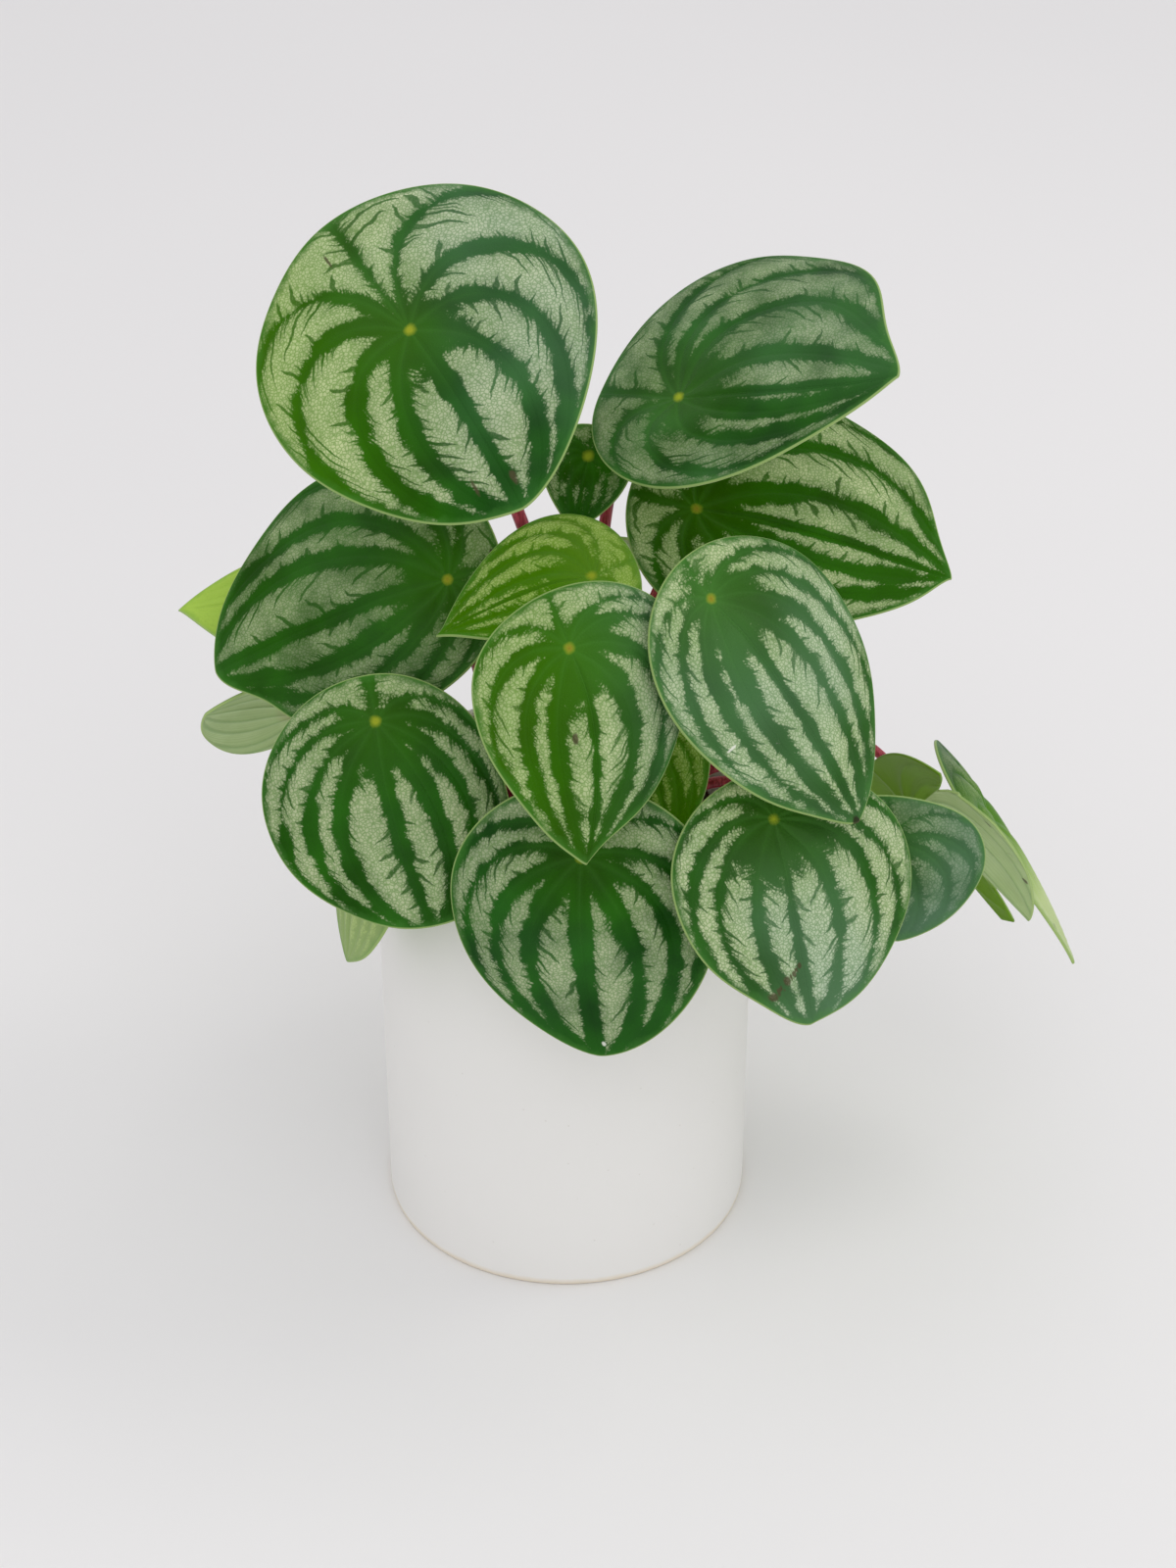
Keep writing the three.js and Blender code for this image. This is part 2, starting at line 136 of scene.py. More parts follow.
# Each leaf: its hub; the heading, droop and roll of its blade in degrees; the distances from the
# hub to the tip, the back and the two sides; how pointed the tip is; the sideways sweep of the
# tip; the stalk's radius, its root on the crown and the points that it passes on the way.
# star scales the green star round the hub, bands scales the dark bands, and a fan below 1 sets the
# first veins further from the middle one. fresh goes from 0, deep green, to 1, yellow-green, and
# to 2, where no stripes are left, and fresher is its gain per millimetre along x and y. silver is
# how bright the stripes are, dull how far a painted greyish sheen, which stands in for the glossy
# reflection of the bright room, covers the green, with duller its gain, and eye marks a brown dot
# on the hub. On a torn leaf, olive gives the angles between which the underside stays pale; outside
# them the underside is painted darker and greener, as painted shade on the lobe that hangs in shadow.
# A tear is (angle, half-width, depth) and a shoulder (angle, half-width, height), in degrees
# round the hub and in shares of the blade's radius. A scar is (x, y, length, width, kind) on
# the blade, where 0 is brown, 1 black and 2 white.
LEAVES = [
    # Tallest leaf, upper left
    dict(hub=(-40, -25, 302), pose=(-53, 26, 33), reach=(60, 44, 49, 45), point=0.3, sweep=-0.07,
         shoulders=[(-148, 28, -0.06), (149, 28, -0.03)],
         stalk=2.5, root=(0, 0), via=[(-2, 2, 190), (-14, 3, 238)], fresh=0.12, fresher=(-0.004, -0.009),
         star=0.8, bands=1.12, dull=0.25, painted_sheen_gain=(0, 0.012), eye=0.3,
         scars=[(52, 2, 1.8, 0.9, 0), (48, -8, 2.2, 0.6, 0), (-31, -6.5, 2.4, 0.4, 0)]),
    # Upper right
    dict(hub=(32, 4, 270), pose=(-32, -12, 33), reach=(62, 26, 57, 30), point=0.7, sweep=0.2,
         shoulders=[(67, 22, 0.08)], stalk=2.3, root=(7, 1), via=[(11, 22, 215), (18, 25, 245)],
         fresh=0.05, bands=1.2, silver=0.66, dull=0.35),
    # Right, under the upper right leaf
    dict(hub=(38, 10, 233), pose=(-10, 8, 35), reach=(75, 20, 48, 34), point=0.75, sweep=-0.03,
         shoulders=[(59, 22, 0.1)], stalk=2.3, root=(14.5, 4), fresh=0.2, star=0.85,
         dull=0, eye=1),
    # Right front
    dict(hub=(40, -45, 233), pose=(-29, 42, 19), reach=(72, 13, 37, 32), point=0.53, sweep=-0.08,
         stalk=2.3, root=(4, -6), via=[(26, -4, 190)], fresh=0.15, star=1.3, bands=0.95, fan=0.9,
         silver=1.15, dull=0.4, painted_sheen_gain=(0.01, 0), eye=1,
         scars=[(71.8, -0.9, 1.5, 1.2, 1), (33.8, -23.4, 0.35, 1.6, 2)]),
    # Left, under the tallest leaf
    dict(hub=(-33, -7, 219), pose=(180, 19, -41), reach=(75, 17, 34, 47), point=0.25, sweep=0.05,
         shoulders=[(36, 22, -0.08)], stalk=2.4, root=(-7, 2), via=[(-15, 0, 150), (-25, 0, 186)],
         fresh=0.12, star=0.9, bands=1.1, fan=0.9, silver=0.66, dull=0.12, eye=0.6,
         scars=[(-14.7, -3.3, 0.8, 0.8, 1)]),
    # Left front, low
    dict(hub=(-52, -42, 193), pose=(-77, 51, 18), reach=(59, 13, 32, 37), point=0.06, sweep=0.12,
         stalk=2.3, root=(-16, -16), via=[(-43, -36, 168)], fresh=0.08, bands=1.1, dull=0.1, eye=0.2),
    # Front, lowest
    dict(hub=(5, -75.8, 169.3), pose=(-100, 72, -6), reach=(57.4, 21.7, 38, 36), point=0.25, sweep=0.14,
         stalk=2.3, root=(1.5, -23), fresh=0, star=0.75, bands=1.22, fan=0.88,
         silver=0.85, dull=0.12, scars=[(53.5, 2, 0.7, 0.6, 2)]),
    # Front, in the middle
    dict(hub=(2, -62, 227), pose=(-50, 50, 21), reach=(54, 16, 31.5, 30.5), point=0.77, sweep=-0.35,
         shoulders=[(56, 22, 0.08)], stalk=2.1, root=(0.5, -15), fresh=0.25, fresher=(0, -0.008),
         fan=0.78, bands=1.12, dull=0.12, painted_sheen_gain=(0, 0.012), eye=1, scars=[(22.3, -5.7, 1.3, 0.8, 0)]),
    # Right front, low
    dict(hub=(57.6, -68.6, 177.7), pose=(-73, 54, -4), reach=(56.9, 13.6, 40, 32), point=0.4, sweep=0.04,
         stalk=2.2, root=(15, -18), via=[(40, -32, 158)], fresh=0.12, star=1.2, bands=0.9,
         fan=0.92, silver=1.25, dull=0.25, painted_sheen_gain=(0.014, 0),
         scars=[(47.8, -9.7, 1.2, 1.3, 0), (46, -7.5, 0.8, 0.6, 0), (44.2, -5.3, 1.2, 1, 0),
                (42.3, -3.1, 0.8, 0.6, 0), (40.4, -0.9, 0.8, 0.7, 0)]),
    # Right, low, behind the right front leaf
    dict(hub=(92, -41, 152), pose=(-92, 67, -4), reach=(29, 14, 29, 36), point=0.45, sweep=0.15,
         stalk=2, root=(20, -12), via=[(46, -17, 158)], fresh=0, silver=0.55, dull=1),
    # Torn leaf at the right that turns its back to the front
    dict(hub=(106, 8.5, 132.5), pose=(-31, 30, -66), reach=(48, 19, 28, 37), point=0.24, sweep=-0.06,
         tears=[(-108, 8, 0.42), (-96, 18, 0.2), (14, 10, 0.38), (56, 22, 0.68)],
         stalk=2, root=(22, -5), via=[(56, -5, 158)], fresh=0.15, olive=(-108, 14),
         scars=[(19.7, -30.9, 1.5, 1, 0), (38.9, -17.7, 1.2, 0.8, 0)]),
    # Outermost leaf at the right, edge-on from the front
    dict(hub=(133, 26, 117), pose=(-39, 43, -37), reach=(50, 31, 22, 27), point=0.79, sweep=-0.09,
         shoulders=[(57, 30, 0.24)], stalk=2, root=(23, 3), via=[(58, 18, 153), (92, 36, 140)], fresh=0.95,
         fresher=(0.034, 0), silver=0.35, dull=0.1, painted_sheen_gain=(0.03, 0),
         scars=[(5.5, 1.5, 1.2, 0.8, 1), (36.8, -9.9, 1.2, 0.8, 0)]),
    # Young yellow-green leaf in the middle
    dict(hub=(8, -24, 229), pose=(-163, 8, -19), reach=(46, 13, 22, 28), point=1.2, sweep=0.07,
         stalk=1.7, root=(-3, -6), fresh=1.1, fresher=(-0.008, 0), dull=0),
    # Small dark leaf behind it
    dict(hub=(7, 15, 247), pose=(-108, 52, -14), reach=(22, 9, 13, 13), point=0.8,
         stalk=1.4, root=(1, 7), via=[(2, 19, 212)], fresh=0, silver=0.75, dull=0),
    # Young leaf behind the left leaf
    dict(hub=(-78, 27, 193), pose=(191, -5, -25), reach=(37, 14, 24, 19), point=1.1,
         stalk=1.7, root=(-14.5, 4.5), fresh=2, dull=0),
    # Left, low, turned away from the front
    dict(hub=(-80, 24, 158.5), pose=(221, -22, 53), reach=(38, 15, 24, 24), point=0.5,
         stalk=1.8, root=(-23, 4), via=[(-50, 9, 160)], fresh=0.15),
    # Small leaf that hangs at the lower left. Its pale greyish green is painted light, for the glancing
    # light and shade on it
    dict(hub=(-54, -41, 158), pose=(205, 73, 0), reach=(45, 11, 22, 22), point=0.5,
         stalk=1.7, root=(-21, -9), via=[(-36, -25, 156)], fresh=1.5, dull=1),
    # Between the front leaves, further in
    dict(hub=(22, -22, 180), pose=(-72, 38, 0), reach=(36, 12, 19, 17), point=0.6,
         stalk=1.9, root=(10, -11), fresh=0.95, silver=0.95, dull=0),
    # Back, upper left
    dict(hub=(-42, 62, 258), pose=(120, 30, 0), reach=(52, 24, 35, 35), point=0.4, sweep=0.05,
         stalk=2.2, root=(-8.5, 12.5), fresh=0.15),
    # Back, upper right
    dict(hub=(52, 76, 240), pose=(60, 32, 0), reach=(50, 22, 33, 33), point=0.45, sweep=-0.05,
         stalk=2.2, root=(7.5, 13), fresh=0.1),
    # Back, in the middle
    dict(hub=(3, 58, 197), pose=(96, 30, 0), reach=(46, 17, 28, 28), point=0.5, sweep=0.05,
         stalk=1.9, root=(-1, 15), fresh=0.3),
    # Back, low
    dict(hub=(5, 78, 159), pose=(90, 48, 0), reach=(52, 18, 33, 33), point=0.4, sweep=0.05,
         stalk=2.1, root=(0, 23), fresh=0.1),
    # Back left
    dict(hub=(-64, 62, 168), pose=(140, 42, 0), reach=(50, 20, 33, 33), point=0.35, sweep=-0.05,
         stalk=2.2, root=(-17, 15.5), fresh=0.1),
    # Back right
    dict(hub=(60, 62, 184), pose=(42, 42, 0), reach=(52, 20, 34, 34), point=0.5, sweep=0.05,
         stalk=2.2, root=(16.5, 16), fresh=0.12),
]
# What a leaf has where nothing is said
PLAIN_LEAF = dict(
    sweep=0, shoulders=[], tears=[], via=[], star=1, bands=1, fan=1, fresher=(0, 0), silver=1,
    dull=0.04, painted_sheen_gain=(0, 0), eye=0, olive=(-180, 180), scars=[],
)
LEAVES = [PLAIN_LEAF | leaf for leaf in LEAVES]


def linear(colour):
    """Linear RGBA of an sRGB hex colour."""
    channels = [(colour >> shift & 255) / 255 for shift in (16, 8, 0)]
    return [c / 12.92 if c <= 0.04045 else ((c + 0.055) / 1.055) ** 2.4 for c in channels] + [1]


def feed(tree, node, inputs):
    """Give a node its inputs, in the order of its sockets or by their names or numbers in a dict.
    A node given as an input lends its first output."""
    for key, value in inputs.items() if isinstance(inputs, dict) else enumerate(inputs):
        if isinstance(value, bpy.types.Node):
            value = value.outputs[0]
        if isinstance(value, bpy.types.NodeSocket):
            tree.links.new(value, node.inputs[key])
        else:
            node.inputs[key].default_value = value


def add(tree, kind, inputs=(), operation=None, **settings):
    """Add a node with its inputs, its operation where it has one, and its other settings. A shader
    node's kind is named without ShaderNode."""
    whole = kind if kind.startswith(("Geometry", "Function", "NodeGroup")) else "ShaderNode" + kind
    node = tree.nodes.new(whole)
    if operation:
        node.operation = operation
    for name, value in settings.items():
        setattr(node, name, value)
    feed(tree, node, inputs)
    return node


def patches(tree, place, scale, detail, *stretch, roughness=0.5):
    """Soft random patches: the noise from the first to the second number of stretch becomes 0 to
    1, or runs from the third to the fourth."""
    grain = {"Vector": place, "Scale": scale, "Detail": detail, "Roughness": roughness}
    noise = add(tree, "TexNoise", grain)
    return add(tree, "MapRange", (noise, *stretch))


def paint(tree, colour, *layers):
    """Lay each (amount, tint) over the colour in turn. Colours are sRGB hex values or sockets."""
    for amount, tint in layers:
        under, over = (linear(tone) if isinstance(tone, int) else tone for tone in (colour, tint))
        colour = add(tree, "Mix", {0: amount, 6: under, 7: over}, data_type="RGBA").outputs[2]
    return colour


def new_material(name, roughness, ior=1.45, specular=0.5):
    """A new material with its shader's fixed values, its tree, and its Object coordinates."""
    material = bpy.data.materials.new(name)
    material.use_nodes = True
    tree = material.node_tree
    fixed = {"Roughness": roughness, "IOR": ior, "Specular IOR Level": specular}
    feed(tree, tree.nodes["Principled BSDF"], fixed)
    return material, tree, add(tree, "TexCoord").outputs["Object"]


def finish(material, looks, height=None, depth=0, **settings):
    """Give the shader its looks, and a relief of this depth in metres where there is a height."""
    tree = material.node_tree
    if height:
        relief = {"Height": height, "Distance": depth, "Strength": 1}
        looks["Normal"] = add(tree, "Bump", relief, **settings)
    feed(tree, tree.nodes["Principled BSDF"], looks)
    return material


def new_object(name, data):
    """A new object in the scene."""
    thing = bpy.data.objects.new(name, data)
    bpy.context.scene.collection.objects.link(thing)
    return thing


def new_mesh(name, points, faces=(), edges=()):
    """A mesh from points in millimetres."""
    mesh = bpy.data.meshes.new(name)
    mesh.from_pydata((np.array(points) * MM).tolist(), edges, faces)
    return mesh


def settle(piece, node):
    """Let a finished piece ride on the plant's one body and stand for a CAD node."""
    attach(piece, BODY)
    if node:
        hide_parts(node)


# Camera, light and floor


def make_camera():
    """The photograph's view: from the front, 31.6 degrees down, from 0.9 m away."""
    camera = new_object("camera", bpy.data.cameras.new("camera"))
    camera.location = (0.0069, -0.7229, 0.5917)
    camera.rotation_euler = (math.radians(90 - 31.62), 0, 0)
    camera.data.sensor_width = 36
    camera.data.lens = 65.25
    camera.data.clip_start = 0.01
    bpy.context.scene.camera = camera


def make_lights():
    """Daylight all round, and a wide soft window light from the right and a little behind."""
    world = bpy.data.worlds.new("pale room")
    bpy.context.scene.world = world
    world.use_nodes = True
    feed(world.node_tree, world.node_tree.nodes["Background"], {"Color": linear(0xFAF9FA), "Strength": 0.86})
    for name, place, size, power, colour in [
        ("window", (1.1, 0.2, 1.5), 0.8, 3.8, 0xFFFDF8),
        ("sky light", (0.1, -1.3, 1.6), 1.6, 7, 0xFBFCFF),
    ]:
        light = bpy.data.lights.new(name, "AREA")
        light.shape = "DISK"
        light.size = size
        light.energy = power
        light.color = linear(colour)[:3]
        lamp = new_object(name, light)
        lamp.location = place
        lamp.rotation_euler = (-lamp.location).to_track_quat("-Z", "Y").to_euler()


def make_floor():
    """A wide sheet of pale board."""
    side = 6000
    corners = [(-side, -side, 0), (side, -side, 0), (side, side, 0), (-side, side, 0)]
    floor = new_object("floor", new_mesh("floor", corners, [(0, 1, 2, 3)]))
    material, tree, place = new_material("matt white board", 0.7)
    shade = add(tree, "TexNoise", {"Vector": place, "Scale": 1.5, "Detail": 2})
    floor.data.materials.append(finish(material, {"Base Color": paint(tree, 0xE6E5E6, (shade, 0xECEBEB))}))


# Shared form of the plant, in millimetres


def blade_axes(leaf):
    """The blade's own frame: x to the tip, y to its left side, z out of its upper face."""
    heading, droop, roll = (math.radians(angle) for angle in leaf["pose"])
    forward = math.cos(droop)
    x = np.array([forward * math.cos(heading), forward * math.sin(heading), -math.sin(droop)])
    level = np.array([-math.sin(heading), math.cos(heading), 0])
    upright = np.cross(x, level)
    y = level * math.cos(roll) + upright * math.sin(roll)
    return x, y, np.cross(x, y)


def off_angle(turn, angle):
    """How far each turn lies from an angle given in degrees."""
    return np.abs((turn - math.radians(angle) + math.pi) % (2 * math.pi) - math.pi)


def margin_share(leaf, turn):
    """The margin's share of its plain radius, with its tears and shoulders."""
    share = np.ones_like(turn)
    for angle, half_width, depth in leaf["tears"]:
        share -= depth * np.maximum(0, 1 - off_angle(turn, angle) / math.radians(half_width))
    for angle, half_width, height in leaf["shoulders"]:
        share += height * np.exp(-(off_angle(turn, angle) / math.radians(half_width)) ** 2)
    return share


def margin_points(leaf, turn):
    """The flat outline, before the tip is swept: turn runs round the hub from the tip."""
    tip, back, left, right = leaf["reach"]
    power = leaf["point"]
    widest = 2 * ((power + 1) / (power + 2)) ** ((power + 1) / 2) / math.sqrt(power + 2)
    side = np.where(np.sin(turn) > 0, left, right)
    share = margin_share(leaf, turn)
    x = ((tip + back) / 2 * np.cos(turn) + (tip - back) / 2) * share
    y = side * np.sin(turn) * np.abs(np.sin(turn / 2)) ** power / widest * share
    return x, y


def blade_height(leaf, x, y):
    """The dished hub and the arch of the blade."""
    tip, _, left, right = leaf["reach"]
    width = (left + right) / 2
    dip = HUB_DIP * (1 - np.exp(-(x * x + y * y) / (HUB_DIP_WIDTH * width) ** 2))
    return dip - TIP_ARCH * x * x / tip - SIDE_SAG * y * y / width


def crown_surface(distance):
    """Height of the crown's surface above the soil level."""
    return CROWN_HEIGHT - CROWN_FALL * (distance / CROWN_RADIUS) ** 2


def stalk_root(leaf):
    """Where a stalk leaves the crown, below its surface, and which way."""
    root = np.array(leaf["root"], float)
    distance = np.hypot(*root)
    lean = math.radians(GREATEST_LEAN * distance / CROWN_RADIUS)
    flat = root / distance if distance else root
    out = np.array([*(flat * math.sin(lean)), math.cos(lean)])
    foot = np.array([*root, SOIL_LEVEL + crown_surface(distance)]) - out * SOCKET_DEPTH
    return foot, out


def stalk_path(leaf):
    """A smooth curve through the stalk's points, from its socket into the blade's hub."""
    foot, out = stalk_root(leaf)
    face = blade_axes(leaf)[2]
    hub = np.array(leaf["hub"], float)
    head = hub - face * BLADE_THICKNESS / 2
    points = [foot, foot + out * STALK_RISE, *map(np.array, leaf["via"]), head - face * STALK_REACH, head]
    points = [2 * points[0] - points[1], *points, 2 * points[-1] - points[-2]]
    path = []
    for p0, p1, p2, p3 in zip(points, points[1:], points[2:], points[3:]):
        d0, d1, d2 = (np.linalg.norm(b - a) ** 0.5 for a, b in ((p0, p1), (p1, p2), (p2, p3)))
        start = ((p1 - p0) / d0 - (p2 - p0) / (d0 + d1) + (p2 - p1) / d1) * d1
        end = ((p2 - p1) / d1 - (p3 - p1) / (d1 + d2) + (p3 - p2) / d2) * d1
        for t in np.linspace(0, 1, STALK_POINTS, endpoint=False):
            path.append((2 * t**3 - 3 * t**2 + 1) * p1 + (t**3 - 2 * t**2 + t) * start
                        + (3 * t**2 - 2 * t**3) * p2 + (t**3 - t**2) * end)
    path.append(points[-2])
    path = np.array(path)
    along = np.concatenate([[0], np.cumsum(np.linalg.norm(np.diff(path, axis=0), axis=1))])
    even = np.linspace(0, along[-1], STALK_POINTS)
    return np.stack([np.interp(even, along, path[:, axis]) for axis in range(3)], 1)


# Blades


def vein_turn(start, share):
    """Where a vein that leaves the hub at the start angle is, at this share of the way out."""
    bend = VEIN_BEND * (1 - (start / math.pi) ** BEND_FALL)
    return start * (1 - (MARGIN_SEAM * share) ** BEND_ONSET) ** bend


def vein_start(turn, share):
    """The angle at which the vein through each point leaves the hub, found by halving."""
    low, high = turn.copy(), np.full_like(turn, math.pi)
    for _ in range(VEIN_HALVINGS):
        middle = (low + high) / 2
        beyond = vein_turn(middle, share) > turn
        low, high = np.where(beyond, low, middle), np.where(beyond, middle, high)
    return (low + high) / 2


def vein_length(whole, start, side, share):
    """Distance from the hub along the vein to each point."""
    length = np.zeros_like(share)
    previous = (0, 0)
    for step in np.linspace(0, 1, VEIN_STEPS + 1)[1:]:
        x, y = margin_points(whole, side * vein_turn(start, share * step))
        here = (x * share * step, y * share * step)
        length += np.hypot(here[0] - previous[0], here[1] - previous[1])
        previous = here
    return length


def steepness(values, x, y):
    """Slope of a field over the flat blade, whose rows are rings and whose columns go round."""
    wrap = 2 * VEIN_COUNT
    around = [np.roll(field, -1, 1) - np.roll(field, 1, 1) for field in (values, x, y)]
    around[0] = (around[0] + wrap / 2) % wrap - wrap / 2
    outward = [2 * np.gradient(field, axis=0) for field in (values, x, y)]
    area = outward[1] * around[2] - around[1] * outward[2]
    area = np.where(np.abs(area) < 1e-9, 1e-9, area)
    slope_x = (outward[0] * around[2] - around[0] * outward[2]) / area
    slope_y = (around[0] * outward[1] - outward[0] * around[1]) / area
    return np.hypot(slope_x, slope_y)


def vein_fields(leaf, turns, share, x, y, dice):
    """The vein number at each point of the flat blade, and what the stripes need, in millimetres."""
    whole = {**leaf, "tears": []}
    share = np.clip(share * margin_share(leaf, turns) / margin_share(whole, turns), 0, 1)
    turn = np.broadcast_to(np.abs(turns), share.shape).copy()
    side = np.where(turns >= 0, 1, -1)
    turn += VEIN_WAVE * np.sin(6 * share + dice.uniform(0, 7)) * np.sin(turn) ** 2
    start = vein_start(np.clip(turn, 0, math.pi), share)
    numbers = np.arange(VEIN_COUNT + 1)
    away = np.zeros_like(share)
    reach = np.zeros_like(share)
    for chosen in (side > 0, side < 0):
        starts = math.pi * (np.array(VEIN_TURNS) / 180) ** leaf["fan"]
        starts[1:-1] += dice.uniform(-VEIN_SCATTER, VEIN_SCATTER, VEIN_COUNT - 1)
        away = np.where(chosen, np.interp(start, starts, numbers), away)
        reaches = np.array(STAR_REACH) * dice.uniform(0.75, 1.25, VEIN_COUNT)
        reach = np.where(chosen, reaches[np.clip(away.astype(int), 0, VEIN_COUNT - 1)], reach)
    number = side * away
    gap = 1 / np.maximum(steepness(number, x, y), 1 / WIDEST_GAP)
    tip, back, _, _ = leaf["reach"]
    size = math.sqrt((tip + back) / COMMON_LENGTH)
    band = np.interp(away, numbers, BAND_WIDTHS) * size * (BAND_AT_HUB - BAND_LOSS * share) * leaf["bands"]
    hub = np.hypot(x, y)
    along = vein_length(whole, start, side, share)
    past_star = hub - reach * size * leaf["star"]
    return dict(number=number, along=along, gap=gap, band=band, start=past_star, hub=hub)


def spoke_turns(leaf, count):
    """Angles of the spokes from just behind the hub, with one at each lip and root of a tear."""
    turns = np.linspace(-math.pi, math.pi, count, endpoint=False)
    for angle, half_width, _ in leaf["tears"]:
        lips = np.radians([angle - half_width, angle, angle + half_width])
        far = np.min(np.abs(turns[:, None] - lips[None]), axis=1) > math.pi / count
        turns = np.sort(np.concatenate([turns[far], lips]))
    return turns


def scar_offset(leaf, x, y):
    """Offset to the nearest scar in units of its size, and its kind."""
    offset = np.full((*x.shape, 3), NO_SCAR)
    nearest = np.full(x.shape, math.inf)
    for centre_x, centre_y, length, width, kind in leaf["scars"]:
        along = (x - centre_x) / length
        aside = (y - centre_y) / width
        closer = np.hypot(along, aside) < nearest
        nearest = np.where(closer, np.hypot(along, aside), nearest)
        offset[closer] = np.stack([along, aside, np.full_like(x, kind)], -1)[closer]
    return offset


def blade_grid(leaf, dice):
    """The blade's points, flat, on spokes round the hub and rings out to the rim: the spokes'
    turns, each point's share of the way out, its place and its distance from the margin."""
    tip, back, left, right = leaf["reach"]
    turns = spoke_turns(leaf, SPOKE_GROUP * round((left + right + tip + back) / SPOKE_STRETCH))
    rim_x, rim_y = margin_points(leaf, turns)
    waves = (np.sin(k * turns + dice.uniform(0, 7)) * dice.uniform(0.3, 1) for k in range(3, 9))
    wave = 1 + RIM_WAVE * sum(waves)
    rim_x, rim_y = rim_x * wave, rim_y * wave
    radius = np.hypot(rim_x, rim_y)
    rings = round((tip + left + right) / RING_STRETCH)
    inner = np.linspace(0, 1, rings)[1:, None] * (1 - RIM_STRIP / radius)
    share = np.concatenate([inner, 1 - np.array(RIM_STEPS)[:, None] / radius])
    return turns, share, rim_x * share, rim_y * share, (1 - share) * radius


def blade_points(leaf, x, y, edge, fields):
    """Points of the upper face, of the lower face inside the rim they share, and the two hubs."""
    across = (0.5 - np.abs(np.abs(fields["number"]) % 1 - 0.5)) * fields["gap"]
    fade = np.clip(fields["hub"] / RELIEF_FADE, 0, 1) * np.clip(edge / RELIEF_FADE, 0, 1)
    groove = -GROOVE_DEPTH * np.exp(-(across / GROOVE_WIDTH) ** 2)
    swelling = SWELLING_HEIGHT * np.clip((across - fields["band"]) / SWELLING_RISE, 0, 1)
    height = blade_height(leaf, x, y) + (groove + swelling) * fade
    rounding = BLADE_THICKNESS / 2
    drop = rounding * (1 - np.sqrt(1 - np.clip(1 - edge / rounding, 0, 1) ** 2))
    swept = y + leaf["sweep"] * np.maximum(0, x) ** 2 / leaf["reach"][0]
    top = np.stack([x, swept, height - drop], -1)
    under = np.stack([x, swept, height - BLADE_THICKNESS + drop], -1)[:-1]
    local = np.concatenate([top.reshape(-1, 3), under.reshape(-1, 3), [[0, 0, 0], [0, 0, -BLADE_THICKNESS]]])
    return np.array(leaf["hub"]) + local @ np.array(blade_axes(leaf))


def closed(grid):
    """The grid with its first column once more at its end, so that it closes round the middle."""
    return np.concatenate([grid, grid[:, :1]], 1)


def quads(grid, turned=False):
    """Corners of the faces between neighbouring points of a grid."""
    corners = [grid[:-1, :-1], grid[1:, :-1], grid[1:, 1:], grid[:-1, 1:]]
    return np.stack(corners[::-1] if turned else corners, 2).reshape(-1, 4, *grid.shape[2:])


def fan(middle, ring, turned=False):
    """Corners of the triangles between a ring and its middle, of which each triangle has its own."""
    first, second = (ring[1:], ring[:-1]) if turned else (ring[:-1], ring[1:])
    return np.stack([middle, first, second], 1)


def blade_faces(rings, columns):
    """Faces of the upper side and of the lower side, which meet in the rim."""
    upper = np.arange(rings * columns).reshape(rings, columns)
    lower = np.concatenate([rings * columns + upper[:-1], upper[-1:]])
    hub = (2 * rings - 1) * columns
    upper, lower = closed(upper), closed(lower)
    top = [*quads(upper).tolist(), *fan(np.full(columns, hub), upper[0]).tolist()]
    under = [*quads(lower, True).tolist(), *fan(np.full(columns, hub + 1), lower[0], True).tolist()]
    return top, under


def vein_map(fields):
    """The vein number and the distance along the vein at every face corner, as a UV map. The
    number's sign is turned where the grid closes, straight behind the hub."""
    number = np.concatenate([fields["number"], -fields["number"][:, :1]], 1)
    uv = np.stack([number, closed(fields["along"])], -1)
    middle = np.stack([(number[0, :-1] + number[0, 1:]) / 2, np.zeros(len(number[0]) - 1)], -1)
    parts = [quads(uv), fan(middle, uv[0]), quads(uv, True), fan(middle, uv[0], True)]
    return np.concatenate([part.reshape(-1, 2) for part in parts])


def blade_looks(leaf, number, turns, x, y, edge, fields):
    """What the materials read at each point of the blade, and its value at the hub."""

    def graded(look, gain, most):
        return np.clip(leaf[look] + leaf[gain][0] * x + leaf[gain][1] * y, 0, most), leaf[look]

    first, last = np.radians(leaf["olive"])
    at_hub = dict(gap=0, band=1, start=-9, hub=0)
    even = dict(silver=leaf["silver"], eye=leaf["eye"], seed=number)
    return {
        **{field: (fields[field], value) for field, value in at_hub.items()},
        **{look: (np.full_like(x, value), value) for look, value in even.items()},
        "edge": (edge, min(leaf["reach"])),
        "fresh": graded("fresh", "fresher", 2),
        # How far the painted sheen covers the green, graded across the blade
        "dull": graded("dull", "painted_sheen_gain", 1),
        "olive": (np.broadcast_to((turns < first) | (turns > last), x.shape), 0),
    }


def on_both_faces(grid, at_hub):
    """Values for the upper face, for the lower face inside the rim, and for the two hubs."""
    return np.concatenate([grid.ravel(), grid[:-1].ravel(), np.ravel([at_hub, at_hub])])


